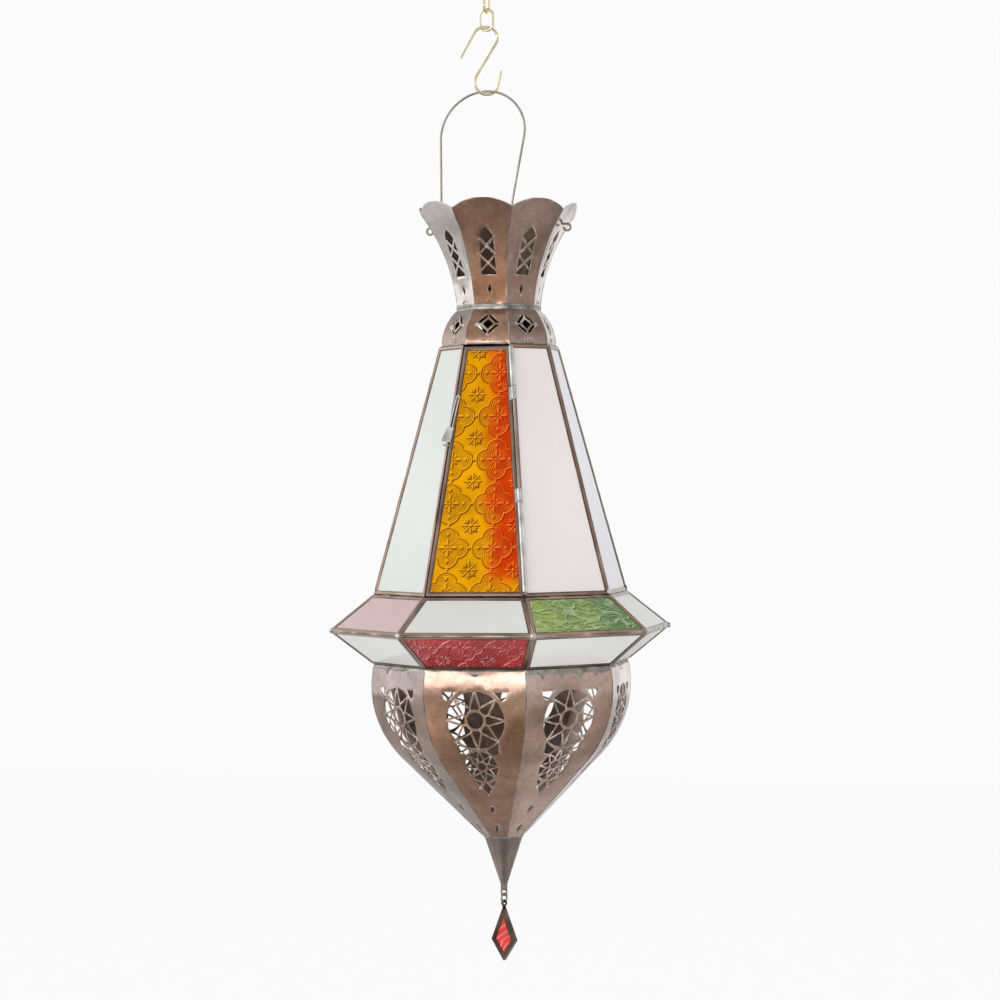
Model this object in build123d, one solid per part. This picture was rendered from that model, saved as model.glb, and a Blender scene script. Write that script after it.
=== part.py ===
from build123d import *
from math import acos, cos, degrees, hypot, radians, sin, sqrt, tan
import os

# An eight-sided hanging lantern of pierced copper sheet and framed glass panes.
# Lengths are millimetres and angles are degrees. While a piece is made, Z is the
# lantern's own axis, the neck is at height 0 and the door faces -Y. Every piece is
# then moved so that the origin is the hang eye, inside the top of the upper chain link.

# General sizes
SIDES = 8
SHEET = 0.6
OVERRUN = 6.0
SEAT_GAP = 0.3

# Crown: eight flared petals with scalloped tips
NECK_APOTHEM = 27.2
CROWN_HEIGHT = 73.0
CROWN_TIP_APOTHEM = 55.5
CROWN_NECK_LEAN = 4.0
PETAL_TIP_RISE = 6.0
LANCET_FOOT = 21.7
LANCET_WIDTH = 11.7
LANCET_SHOULDER = 46.5
LANCET_TIP = 54.4
LANCET_CROSSINGS = (30.2, 41.5)
LANCET_BAR = 1.3
LANCET_BULGE_SHARE = 0.66
DART_HEIGHT = 12.7
DART_WIDTH = 3.0
DART_LENGTH = 7.5

# Neck band between crown and shoulder
NECK_BAND_HEIGHT = 2.4
NECK_BAND_PROUD = 0.5

# Shoulder: eight convex gores
SHOULDER_HEIGHT = 25.7
SHOULDER_APOTHEM = 37.5
GEM_DROP = 11.7
GEM_HOLE_HALF_WIDTH = 3.9
GEM_HALF_WIDTH = 9.6
GEM_HALF_HEIGHT = 8.6
GEM_BAR = 1.2

# Tall body: eight framed panes, one of them the door
BODY_TOP_APOTHEM = 39.1
BODY_HEIGHT = 171.8
BODY_FOOT_APOTHEM = 83.3

# Waist: a sloping upper and lower apron of framed panes
UPPER_APRON_HEIGHT = 24.7
WAIST_APOTHEM = 112.2
LOWER_APRON_HEIGHT = 24.0

# Channel frames and their glass
CAME_FACE = 3.0
CAME_DEPTH = 3.2
GROOVE_DEPTH = 1.2
CAME_WALL = 0.4
GLASS = 2.0
GLASS_PLAY = 0.1
APRON_CAME_DEPTH = 2.4
APRON_GLASS = 1.5

# Bowl: eight pierced gores
BOWL_TOP_APOTHEM = 83.5
BOWL_HEIGHT = 121.8
BOWL_FOOT_APOTHEM = 12.8
BOWL_SLOPE = 43.0
BOWL_BEND_DROP = 65.8
PIERCED_BAR = 1.25
FIELD_HALF_WIDTH = 23.8
# Pierced stars: the radii of their tips, valleys, inner ring and centre hole
STAR_RAYS = 8
STAR_RIM_SHARES = (0.25, 0.5, 0.75)
ROSETTE_DROP = 33.8
ROSETTE_RADIUS = 20.4
ROSETTE_VALLEY_RADIUS = 9.4
ROSETTE_RING_RADIUS = 7.2
ROSETTE_HOLE_RADIUS = 5.6
LITTLE_STAR_DROP = 66.4
LITTLE_STAR_RADIUS = 11.4
LITTLE_STAR_VALLEY_RADIUS = 5.4
LITTLE_STAR_RING_RADIUS = 4.0
LITTLE_STAR_HOLE_RADIUS = 2.8
LITTLE_STAR_BAR = 0.9
TAIL_DIAMOND_DROP = 83.0
TAIL_DIAMOND_WIDTH = 7.0
TAIL_DIAMOND_HEIGHT = 9.0
SLIT_DROPS = (99.3, 114.0)
SLIT_HALF_WIDTH = 1.2
SLIT_HALF_LENGTH = 2.6
SLIT_SLANT = 15.0
# Corner holes above the rosette, in shares of the field's half width and the rosette's radius
CORNER_CELL_SHARES = ((0.50, 0.97), (0.98, 0.97), (0.93, 0.72), (0.76, 0.60))
# Holes beside the stars for one half of the gore, in shares of the field's half width and of the way down
# from the rosette's centre to the little star's
BESIDE_CELL_SHARES = (
    ((0.193, 0.650), (0.626, 0.460), (0.584, 0.718), (0.395, 0.767)),
    ((0.100, 1.387), (0.353, 1.276), (0.277, 1.405), (0.193, 1.491)),
)

# Door and its hinge
DOOR_SIDE_GAP = 0.5
DOOR_TOP_GAP = 1.6
DOOR_FOOT_GAP = 0.6
HINGE_PIN_RADIUS = 0.8
HINGE_FIT = 0.06
HINGE_TUBE_WALL = 0.8
HINGE_LEAF = 0.5
HINGE_LEAF_REACH = 2.4
HINGE_CLEARANCE = 0.35
HINGE_END_INSET = 3.0
HINGE_TOP_TUBE = 28.0
HINGE_FOOT_TUBE = 62.0
HINGE_LUG = 9.0
HINGE_LUG_GAP = 0.6
HINGE_PIN_TAIL = 1.8

# Latch on the door's left stile: a wire hasp hung on a pin, with a tin finger tab
LATCH_DROP = 36.0
LATCH_PIN_RADIUS = 0.5
LATCH_PIN_HEAD_RADIUS = 1.0
LATCH_PIN_HEAD = 0.5
LATCH_FIT = 0.08
LATCH_WIRE_RADIUS = 0.4
LATCH_LIFT = 0.3
LATCH_LEG = 22.0
LATCH_SLANT = 4.5
LATCH_TAB_WIDTH = 4.4
LATCH_TAB_LENGTH = 10.6
LATCH_TAB_THICKNESS = 1.2
LATCH_STOP_RADIUS = 0.5
LATCH_STOP_LENGTH = 5.5
LATCH_STOP_DROP = 2.4

# Spike below the bowl
SPIKE_HEIGHT = 33.3
SPIKE_FLARE = 0.6
SPIKE_TIP_RADIUS = 2.4
SPIKE_WALL = 0.7
SPIKE_PLUG = 4.0

# Drop: strap, ring and a kite-shaped glass pendant
STRAP_WIDTH = 4.6
STRAP_LENGTH = 8.7
STRAP_THICKNESS = 0.9
STRAP_EYE_RADIUS = 1.5
STRAP_EYE_RISE = 2.6
RING_RADIUS = 3.1
RING_WIRE_RADIUS = 0.65
DROP_YAW = 22.0
KITE_WIDTH = 20.0
KITE_HEIGHT = 38.0
KITE_WIDEST_DROP = 23.5
KITE_DEPTH = 3.2
KITE_BORDER = 3.0
KITE_GROOVE = 0.9
KITE_GLASS = 1.8
KITE_EYE_RADIUS = 1.2
KITE_EYE_WALL = 1.1
KITE_EYE_THICKNESS = 1.0

# Bail: one hand-bent wire from ear to ear
BAIL_WIRE_RADIUS = 0.8
BAIL_FIT = 0.08
EAR_HEIGHT = 59.0
BAIL_APEX_RISE = 94.5
BAIL_LEG_INSET = 5.0
BAIL_BEND_RADIUS = 3.2
BAIL_LEFT_ARCH_RADIUS = 33.4
BAIL_RIGHT_ARCH_RADIUS = 27.0
BAIL_RIGHT_LEAN = 11.0
BAIL_EYE_RADIUS = 2.35
BAIL_EYE_REACH = 3.4
BAIL_EYE_TURN = 275.0

# S-hook, from its upper tip to its lower tip
HOOK_WIRE_RADIUS = 1.05
HOOK_UPPER_ARM = 21.0
HOOK_UPPER_ARM_PITCH = 60.0
HOOK_UPPER_OUTER_RADIUS = 9.0
HOOK_UPPER_SEAT = 2.6
HOOK_UPPER_INNER_RADIUS = 7.0
HOOK_SHANK = 28.0
HOOK_SHANK_PITCH = 57.5
HOOK_LOWER_RADIUS = 8.3
HOOK_LOWER_SEAT = 1.2
HOOK_LOWER_ARM = 11.0
HOOK_LOWER_ARM_PITCH = 78.0
HOOK_YAW = 35.0

# Chain links
LINK_WIRE_RADIUS = 1.0
LINK_BEND_RADIUS = 4.75
LINK_STRAIGHT = 5.6
LINK_LOWER_YAW = -8.0
LINK_UPPER_YAW = 82.0

# Candle holder inside
BRIDGE_DROP = 8.0
BRIDGE_WIDTH = 16.0
BRIDGE_THICKNESS = 1.2
BRIDGE_TAB = 8.0
DISH_RADIUS = 30.0
DISH_LIP = 4.5
CUP_BORE_RADIUS = 11.3
CUP_WALL = 0.8
CUP_HEIGHT = 20.0

# Heights of the main levels, worked out downwards from the neck
SIDE_TURN = 360 / SIDES
MITRE = SIDE_TURN / 2
BODY_TOP = -SHOULDER_HEIGHT
BODY_FOOT = BODY_TOP - BODY_HEIGHT
WAIST = BODY_FOOT - UPPER_APRON_HEIGHT
BOWL_TOP = WAIST - LOWER_APRON_HEIGHT
BOWL_FOOT = BOWL_TOP - BOWL_HEIGHT
SPIKE_TIP = BOWL_FOOT - SPIKE_HEIGHT
PLAN_REACH = WAIST_APOTHEM + OVERRUN

# Which sides carry what, counted round from the door
DOOR = 0
EAR_SIDES = (SIDES // 4, SIDES - SIDES // 4)
EVEN_SIDES = range(0, SIDES, 2)
GREEN_SIDES = range(1, SIDES, 4)
PINK_SIDES = range(3, SIDES, 4)
RED_SIDES = range(0, SIDES, 4)


def side_angle(side):
    """Direction of a side's outward normal about Z. Side 0 is the door, at -Y."""
    return -90 + SIDE_TURN * side


def at_side(side, shape):
    """A shape made facing +X, turned to its side."""
    return Rot(0, 0, side_angle(side)) * shape


def polygon(points):
    return make_face(Polyline(*points, close=True))


def rim(radius, angle):
    """A point at a radius and an angle, as a flat pair."""
    return (radius * cos(radians(angle)), radius * sin(radians(angle)))


class Profile:
    """A circular arc in the half plane of radius and height, leaving its first point along a heading."""

    def __init__(self, first, last, heading):
        self.first = first
        self.last = last
        self.heading = heading
        along = (last[0] - first[0], last[1] - first[1])
        left = (-heading[1], heading[0])
        self.signed_radius = (along[0] ** 2 + along[1] ** 2) / (2 * (along[0] * left[0] + along[1] * left[1]))
        self.centre = (first[0] + left[0] * self.signed_radius, first[1] + left[1] * self.signed_radius)

    def apothem(self, height):
        """Where the arc stands at a height: on the side of its centre that its ends are on."""
        reach = sqrt(self.signed_radius ** 2 - (height - self.centre[1]) ** 2)
        if self.first[0] < self.centre[0]:
            return self.centre[0] - reach
        return self.centre[0] + reach

    def edge(self):
        return TangentArc(self.first, self.last, tangent=self.heading)


def pitched(pitch):
    """A unit heading in the half plane, from its angle above the horizontal."""
    return (cos(radians(pitch)), sin(radians(pitch)))


CROWN_PROFILE = Profile((NECK_APOTHEM, 0), (CROWN_TIP_APOTHEM, CROWN_HEIGHT), pitched(90 - CROWN_NECK_LEAN))
SHOULDER_PROFILE = Profile((SHOULDER_APOTHEM, BODY_TOP), (NECK_APOTHEM, 0), pitched(90))
BOWL_BEND = BOWL_TOP - BOWL_BEND_DROP
BOWL_BEND_APOTHEM = BOWL_FOOT_APOTHEM + (BOWL_BEND - BOWL_FOOT) * tan(radians(BOWL_SLOPE))
BOWL_PROFILE = Profile((BOWL_BEND_APOTHEM, BOWL_BEND), (BOWL_TOP_APOTHEM, BOWL_TOP), pitched(90 - BOWL_SLOPE))
EAR_APOTHEM = CROWN_PROFILE.apothem(EAR_HEIGHT)


# Sheet-metal sides

def slice_of_plan(low, high, gap=0):
    """The space that one side may fill, facing +X: a slice of the plan between two heights."""
    tip = gap / sin(radians(MITRE))
    spread = (PLAN_REACH - tip) * tan(radians(MITRE))
    plan = polygon([(tip, 0), (PLAN_REACH, -spread), (PLAN_REACH, spread)])
    return Pos(0, 0, low) * extrude(plan, high - low)


def drawn_across(section):
    """A section of radius and height, drawn across the side both ways."""
    return extrude(Plane.XZ * section, amount=PLAN_REACH, both=True)


def pierce(face):
    """A cutter through the side that faces +X, from a flat shape of width and height."""
    return extrude(Plane.YZ * face, amount=PLAN_REACH)


def bent_sheet(edges, side_of_path, low, high):
    """One mitred side of bent sheet, its outer surface along the edges."""
    section = make_face(offset(Wire(edges), SHEET, side=side_of_path))
    return drawn_across(section) & slice_of_plan(low, high)


def shrunk(points, margin):
    """A polygon drawn in on all sides by a margin."""
    return offset(polygon(points), -margin, kind=Kind.INTERSECTION)


def lancet_cells():
    """The openings of a petal's lattice: the pointed window less its crossed bars."""
    half = LANCET_WIDTH / 2
    lower, upper = LANCET_CROSSINGS
    middle = (lower + upper) / 2
    swing = middle - lower
    foot_side = max(lower - swing, LANCET_FOOT + LANCET_BAR)
    cells = [
        [(0, lower), (half, middle), (0, upper), (-half, middle)],
        [(0, lower), (half, foot_side), (half, LANCET_FOOT), (-half, LANCET_FOOT), (-half, foot_side)],
    ]
    for hand in (-1, 1):
        cells.append([(0, upper), (hand * half, middle), (hand * half, upper + swing)])
        cells.append([(0, lower), (hand * half, foot_side), (hand * half, middle)])
    faces = [shrunk(cell, LANCET_BAR / 2) for cell in cells]
    inner = half - LANCET_BAR / 2
    foot = upper + LANCET_BAR
    arch_foot = max(upper + swing + LANCET_BAR / 2, LANCET_SHOULDER)
    bulge = (LANCET_TIP - arch_foot) / 2
    arch_lines = [
        Line((0, foot), (inner, arch_foot)),
        ThreePointArc((inner, arch_foot), (inner * LANCET_BULGE_SHARE, arch_foot + bulge), (0, LANCET_TIP)),
        ThreePointArc((0, LANCET_TIP), (-inner * LANCET_BULGE_SHARE, arch_foot + bulge), (-inner, arch_foot)),
        Line((-inner, arch_foot), (0, foot)),
    ]
    faces.append(make_face(arch_lines))
    return faces


def diamond(width, height, centre_height):
    return polygon([(0, centre_height + height / 2), (width / 2, centre_height),
                    (0, centre_height - height / 2), (-width / 2, centre_height)])


def crown_petal(has_ear):
    sheet = bent_sheet([CROWN_PROFILE.edge()], Side.LEFT, NECK_BAND_HEIGHT / 2, CROWN_HEIGHT)
    notch = CROWN_HEIGHT - PETAL_TIP_RISE
    half = CROWN_PROFILE.apothem(notch) * tan(radians(MITRE))
    outline = make_face([
        ThreePointArc((-half, notch), (0, CROWN_HEIGHT), (half, notch)),
        Polyline((half, notch), (half + OVERRUN, notch), (half + OVERRUN, 0),
                 (-half - OVERRUN, 0), (-half - OVERRUN, notch), (-half, notch)),
    ])
    cutters = [pierce(face) for face in lancet_cells()]
    cutters.append(pierce(diamond(DART_WIDTH, DART_LENGTH, DART_HEIGHT)))
    if has_ear:
        hole = Circle(BAIL_WIRE_RADIUS + BAIL_FIT)
        cutters.append(pierce(Pos(0, EAR_HEIGHT) * hole))
    return (sheet & pierce(outline)) - cutters


def neck_band():
    """The soldered band that joins the crown to the shoulder."""
    outer = NECK_APOTHEM + NECK_BAND_PROUD
    inner = NECK_APOTHEM - SHEET
    plan = RegularPolygon(outer, SIDES, major_radius=False) - RegularPolygon(inner, SIDES, major_radius=False)
    turn_flat = Rot(0, 0, MITRE)
    return Pos(0, 0, -NECK_BAND_HEIGHT / 2) * extrude(turn_flat * plan, NECK_BAND_HEIGHT)


def shoulder_gore():
    sheet = bent_sheet([SHOULDER_PROFILE.edge()], Side.LEFT, BODY_TOP, -NECK_BAND_HEIGHT / 2)
    tall = GEM_HALF_HEIGHT / GEM_HALF_WIDTH
    hole_height = GEM_HOLE_HALF_WIDTH * tall
    cutters = [pierce(diamond(2 * GEM_HOLE_HALF_WIDTH, 2 * hole_height, -GEM_DROP))]
    inner = GEM_HOLE_HALF_WIDTH + GEM_BAR
    for across in (-1, 1):
        for up in (-1, 1):
            slot = [(across * inner, -GEM_DROP), (across * GEM_HALF_WIDTH, -GEM_DROP),
                    (0, -GEM_DROP + up * GEM_HALF_HEIGHT), (0, -GEM_DROP + up * inner * tall)]
            cutters.append(pierce(shrunk(slot, GEM_BAR / 2)))
    return sheet - cutters


def star_cells(radius, valley, ring, hole, bar):
    """Openings of a rayed star inside a circle, centred on the origin."""
    step = 360 / STAR_RAYS
    faces = [Circle(hole)]
    for ray in range(STAR_RAYS):
        middle = 90 + step * ray
        inside = [rim(ring, middle - step / 2), rim(valley, middle - step / 2), rim(radius, middle),
                  rim(valley, middle + step / 2), rim(ring, middle + step / 2)]
        arc = [rim(radius, middle + step * share) for share in STAR_RIM_SHARES]
        between = [rim(valley, middle + step / 2), rim(radius, middle), *arc, rim(radius, middle + step)]
        faces.append(shrunk(inside, bar / 2))
        faces.append(shrunk(between, bar / 2))
    return faces


def bowl_cells():
    """All the openings of one bowl gore, in width and height."""
    centre = BOWL_TOP - ROSETTE_DROP
    large = star_cells(ROSETTE_RADIUS, ROSETTE_VALLEY_RADIUS, ROSETTE_RING_RADIUS, ROSETTE_HOLE_RADIUS,
                       PIERCED_BAR)
    little = star_cells(LITTLE_STAR_RADIUS, LITTLE_STAR_VALLEY_RADIUS, LITTLE_STAR_RING_RADIUS,
                        LITTLE_STAR_HOLE_RADIUS, LITTLE_STAR_BAR)
    faces = [Pos(0, centre) * face for face in large]
    faces += [Pos(0, BOWL_TOP - LITTLE_STAR_DROP) * face for face in little]
    way = LITTLE_STAR_DROP - ROSETTE_DROP
    for hand in (-1, 1):
        corner = [(hand * FIELD_HALF_WIDTH * x, centre + ROSETTE_RADIUS * y) for x, y in CORNER_CELL_SHARES]
        faces.append(shrunk(corner, PIERCED_BAR / 2))
        for cell in BESIDE_CELL_SHARES:
            points = [(hand * FIELD_HALF_WIDTH * x, centre - way * down) for x, down in cell]
            faces.append(shrunk(points, LITTLE_STAR_BAR / 2))
    faces.append(diamond(TAIL_DIAMOND_WIDTH, TAIL_DIAMOND_HEIGHT, BOWL_TOP - TAIL_DIAMOND_DROP))
    for drop in SLIT_DROPS:
        slit = Rot(0, 0, -SLIT_SLANT) * Ellipse(SLIT_HALF_WIDTH, SLIT_HALF_LENGTH)
        faces.append(Pos(0, BOWL_TOP - drop) * slit)
    return faces


def bowl_gore():
    below = (BOWL_FOOT_APOTHEM - OVERRUN * tan(radians(BOWL_SLOPE)), BOWL_FOOT - OVERRUN)
    wall = Line(below, (BOWL_BEND_APOTHEM, BOWL_BEND))
    sheet = bent_sheet([wall, BOWL_PROFILE.edge()], Side.LEFT, BOWL_FOOT, BOWL_TOP)
    return sheet - [pierce(face) for face in bowl_cells()]


# Framed panes

class FlatSide:
    """One flat framed side that faces +X, between two levels given as (apothem, height)."""

    def __init__(self, low, high, depth, glass, gap=0):
        self.low = low
        self.high = high
        self.depth = depth
        self.glass = glass
        self.gap = gap
        rise = high[1] - low[1]
        lean = low[0] - high[0]
        self.length = hypot(rise, lean)
        self.level_depth = depth * self.length / rise
        # The wider end is a sharp edge, so its came is as broad as the groove behind it needs
        glass_back = (depth + glass) / 2 + GLASS_PLAY
        broader = max(0, GROOVE_DEPTH + CAME_WALL + glass_back * abs(lean) / rise - CAME_FACE)
        self.low_broader = broader if lean > 0 else 0
        self.high_broader = broader if lean < 0 else 0
        upward = Vector(-lean, 0, rise).normalized()
        outward = Vector(0, 1, 0).cross(upward)
        self.plane = Plane(origin=(low[0], 0, low[1]), x_dir=(0, 1, 0), z_dir=outward)
        self.low_half = low[0] * tan(radians(MITRE)) - gap / cos(radians(MITRE))
        self.high_half = high[0] * tan(radians(MITRE)) - gap / cos(radians(MITRE))
        self.edge_slope = (self.low_half - self.high_half) / self.length

    def half_width(self, up):
        return self.low_half - self.edge_slope * up

    def panel(self, margin):
        """The side's outline on its outer face, drawn in by a margin."""
        inward = margin * hypot(1, self.edge_slope)
        foot = margin + self.low_broader
        top = self.length - margin - self.high_broader
        low = self.half_width(foot) - inward
        high = self.half_width(top) - inward
        return polygon([(-low, foot), (low, foot), (high, top), (-high, top)])

    def slab(self, margin, depth, thickness):
        """A plate of the outline, its outer face a depth below the side's outer face."""
        return extrude(self.plane.offset(-depth) * self.panel(margin), amount=-thickness)

    def frame(self):
        section = polygon([self.low, self.high, (self.high[0] - self.level_depth, self.high[1]),
                           (self.low[0] - self.level_depth, self.low[1])])
        plate = drawn_across(section) & slice_of_plan(self.low[1], self.high[1], self.gap)
        window = extrude(self.plane.offset(OVERRUN) * self.panel(CAME_FACE), amount=-2 * OVERRUN)
        groove_width = self.glass + 2 * GLASS_PLAY
        groove = self.slab(CAME_FACE - GROOVE_DEPTH, (self.depth - groove_width) / 2, groove_width)
        return plate - window - groove

    def pane(self):
        margin = CAME_FACE - GROOVE_DEPTH + GLASS_PLAY
        return self.slab(margin, (self.depth - self.glass) / 2, self.glass)


BODY_SIDE = FlatSide((BODY_FOOT_APOTHEM, BODY_FOOT), (BODY_TOP_APOTHEM, BODY_TOP), CAME_DEPTH, GLASS)
UPPER_SIDE = FlatSide((WAIST_APOTHEM, WAIST), (BODY_FOOT_APOTHEM, BODY_FOOT), APRON_CAME_DEPTH, APRON_GLASS)
LOWER_SIDE = FlatSide((BOWL_TOP_APOTHEM, BOWL_TOP), (WAIST_APOTHEM, WAIST), APRON_CAME_DEPTH, APRON_GLASS)
BODY_TAPER_SHARE = (BODY_FOOT_APOTHEM - BODY_TOP_APOTHEM) / BODY_HEIGHT


def body_apothem(height):
    return BODY_TOP_APOTHEM + (BODY_TOP - height) * BODY_TAPER_SHARE


DOOR_LOW = BODY_FOOT + DOOR_FOOT_GAP
DOOR_HIGH = BODY_TOP - DOOR_TOP_GAP
DOOR_SIDE = FlatSide((body_apothem(DOOR_LOW), DOOR_LOW), (body_apothem(DOOR_HIGH), DOOR_HIGH),
                     CAME_DEPTH, GLASS, DOOR_SIDE_GAP)


# Door hinge

class Corner:
    """The outer edge between two body sides, with the axis of a tube that stands proud of it."""

    def __init__(self):
        foot = Vector(BODY_FOOT_APOTHEM, BODY_FOOT_APOTHEM * tan(radians(MITRE)), BODY_FOOT)
        top = Vector(BODY_TOP_APOTHEM, BODY_TOP_APOTHEM * tan(radians(MITRE)), BODY_TOP)
        self.foot = foot
        self.length = (top - foot).length
        self.along = (top - foot).normalized()
        self.normal = BODY_SIDE.plane.z_dir
        next_normal = self.normal.rotate(Axis.Z, SIDE_TURN)
        self.outward = (self.normal + next_normal).normalized()
        self.half_bend = acos(self.outward.dot(self.normal))
        tube_radius = HINGE_PIN_RADIUS + HINGE_FIT + HINGE_TUBE_WALL
        self.proud = (tube_radius + HINGE_CLEARANCE) / cos(self.half_bend)

    def door_plane(self):
        """X over the door's stile, Y out of the door's face and Z up the edge."""
        return Plane(origin=self.foot, x_dir=self.normal.cross(self.along), z_dir=self.along)

    def axis_place(self):
        """The hinge axis in the door plane's X and Y."""
        return (-self.proud * sin(self.half_bend), self.proud * cos(self.half_bend))


CORNER = Corner()


def knuckle(low, high, bore):
    """A rolled tube on its leaf, in the door plane of the corner: the leaf lies on the face at Y 0."""
    x, y = CORNER.axis_place()
    radius = HINGE_PIN_RADIUS + HINGE_FIT + HINGE_TUBE_WALL
    leaf = polygon([(HINGE_LEAF_REACH, 0), (x, 0), (x, y), (x + radius, y), (x + radius, HINGE_LEAF),
                    (HINGE_LEAF_REACH, HINGE_LEAF)])
    section = (leaf + Pos(x, y) * Circle(radius)) - Pos(x, y) * Circle(bore)
    return CORNER.door_plane() * (Pos(0, 0, low) * extrude(section, high - low))


def on_neighbour(shape):
    """Mirrored across the corner, from the door's side to the next one."""
    return mirror(shape, about=Plane(origin=(0, 0, 0), z_dir=(*rim(1, MITRE + 90), 0)))


HINGE_TUBE_TOP = CORNER.length - HINGE_END_INSET
HINGE_TUBE_TOP_END = HINGE_TUBE_TOP - HINGE_TOP_TUBE
HINGE_TUBE_FOOT = HINGE_END_INSET
HINGE_TUBE_FOOT_END = HINGE_TUBE_FOOT + HINGE_FOOT_TUBE


def hinge_tubes():
    bore = HINGE_PIN_RADIUS + HINGE_FIT
    spans = ((HINGE_TUBE_FOOT, HINGE_TUBE_FOOT_END), (HINGE_TUBE_TOP_END, HINGE_TUBE_TOP))
    return [on_neighbour(knuckle(low, high, bore)) for low, high in spans]


def hinge_lugs():
    low = HINGE_TUBE_FOOT_END + HINGE_LUG_GAP
    high = HINGE_TUBE_TOP_END - HINGE_LUG_GAP
    spans = ((low, low + HINGE_LUG), (high - HINGE_LUG, high))
    return [knuckle(start, end, HINGE_PIN_RADIUS) for start, end in spans]


def hinge_pin():
    x, y = CORNER.axis_place()
    low = HINGE_TUBE_FOOT - HINGE_PIN_TAIL
    high = HINGE_TUBE_TOP + HINGE_PIN_TAIL
    return CORNER.door_plane() * (Pos(x, y, low) * extrude(Circle(HINGE_PIN_RADIUS), high - low))


# Latch

LATCH_UP = DOOR_SIDE.length - LATCH_DROP
LATCH_ACROSS = -DOOR_SIDE.half_width(LATCH_UP) + CAME_FACE / 2
LATCH_LEAN = degrees(acos(1 / hypot(1, DOOR_SIDE.edge_slope))) + LATCH_SLANT


def latch_place():
    """On the door's outer face at the latch pin: X across, Y up along the hasp, Z out of the face."""
    return DOOR_SIDE.plane.location * Pos(LATCH_ACROSS, LATCH_UP, 0) * Rot(0, 0, -LATCH_LEAN)


def latch_pin():
    post = LATCH_LIFT + 2 * LATCH_WIRE_RADIUS + LATCH_LIFT
    shape = extrude(Circle(LATCH_PIN_RADIUS), post)
    head = Pos(0, 0, post) * extrude(Circle(LATCH_PIN_HEAD_RADIUS), LATCH_PIN_HEAD)
    return latch_place() * (shape + head)


def latch_wire():
    """A hairpin over the pin, its two legs hanging down to the tab."""
    turn = LATCH_PIN_RADIUS + LATCH_FIT + LATCH_WIRE_RADIUS
    path = Wire([Line((-turn, -LATCH_LEG), (-turn, 0)), ThreePointArc((-turn, 0), (0, turn), (turn, 0)),
                 Line((turn, 0), (turn, -LATCH_LEG))])
    start = Plane(origin=(-turn, -LATCH_LEG, 0), z_dir=(0, 1, 0))
    tube = sweep(start * Circle(LATCH_WIRE_RADIUS), path=path)
    return latch_place() * (Pos(0, 0, LATCH_LIFT + LATCH_WIRE_RADIUS) * tube)


def latch_tab():
    """A folded tin tab, its top end face against the two wire ends."""
    outline = polygon([(-LATCH_TAB_WIDTH / 2, 0), (LATCH_TAB_WIDTH / 2, 0),
                       (LATCH_TAB_WIDTH / 2, -LATCH_TAB_LENGTH), (-LATCH_TAB_WIDTH, -LATCH_TAB_LENGTH)])
    plate = Pos(0, -LATCH_LEG, LATCH_LIFT) * extrude(outline, LATCH_TAB_THICKNESS)
    return latch_place() * plate


def latch_stop():
    """A short wire soldered across the stile below the tab."""
    up = -LATCH_LEG - LATCH_TAB_LENGTH - LATCH_STOP_DROP
    bar = extrude(Plane.YZ * Circle(LATCH_STOP_RADIUS), LATCH_STOP_LENGTH / 2, both=True)
    return latch_place() * (Pos(0, up, LATCH_STOP_RADIUS) * bar)


# Spike and drop

def spike_cone():
    top = BOWL_FOOT_APOTHEM + SPIKE_FLARE
    wall = [(top - SPIKE_WALL, BOWL_FOOT), (top, BOWL_FOOT), (SPIKE_TIP_RADIUS, SPIKE_TIP), (0, SPIKE_TIP),
            (0, SPIKE_TIP + SPIKE_PLUG), (SPIKE_TIP_RADIUS - SPIKE_WALL, SPIKE_TIP + SPIKE_PLUG)]
    return revolve(Plane.XZ * polygon(wall), Axis.Z)


STRAP_FOOT = SPIKE_TIP - STRAP_LENGTH
STRAP_EYE = STRAP_FOOT + STRAP_EYE_RISE
RING_TOP = STRAP_EYE - STRAP_EYE_RADIUS + RING_WIRE_RADIUS + SEAT_GAP / 2
RING_CENTRE = RING_TOP - RING_RADIUS
KITE_EYE = RING_CENTRE - RING_RADIUS - KITE_EYE_RADIUS + RING_WIRE_RADIUS + SEAT_GAP / 2
KITE_TOP = KITE_EYE - KITE_EYE_RADIUS - KITE_EYE_WALL


def drop_strap():
    """A flat strip under the spike's tip with an eye for the ring, broad side to the door."""
    blade = Pos(0, 0, (SPIKE_TIP + STRAP_FOOT) / 2) * Box(STRAP_WIDTH, STRAP_THICKNESS, STRAP_LENGTH)
    eye = extrude(Plane.XZ * (Pos(0, STRAP_EYE) * Circle(STRAP_EYE_RADIUS)), OVERRUN, both=True)
    return blade - eye


def drop_turn(shape):
    return Rot(0, 0, -DROP_YAW) * shape


def drop_ring():
    """A wire ring through the strap's eye, standing in the plane that it hangs in."""
    return drop_turn(Pos(0, 0, RING_CENTRE) * (Rot(0, 90, 0) * Torus(RING_RADIUS, RING_WIRE_RADIUS)))


def kite(margin):
    """The pendant's outline drawn in by a margin, broad side to the door."""
    outline = [(0, KITE_TOP), (KITE_WIDTH / 2, KITE_TOP - KITE_WIDEST_DROP), (0, KITE_TOP - KITE_HEIGHT),
               (-KITE_WIDTH / 2, KITE_TOP - KITE_WIDEST_DROP)]
    if margin == 0:
        return polygon(outline)
    return shrunk(outline, margin)


def kite_slab(margin, thickness):
    return extrude(Plane.XZ * kite(margin), thickness / 2, both=True)


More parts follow.
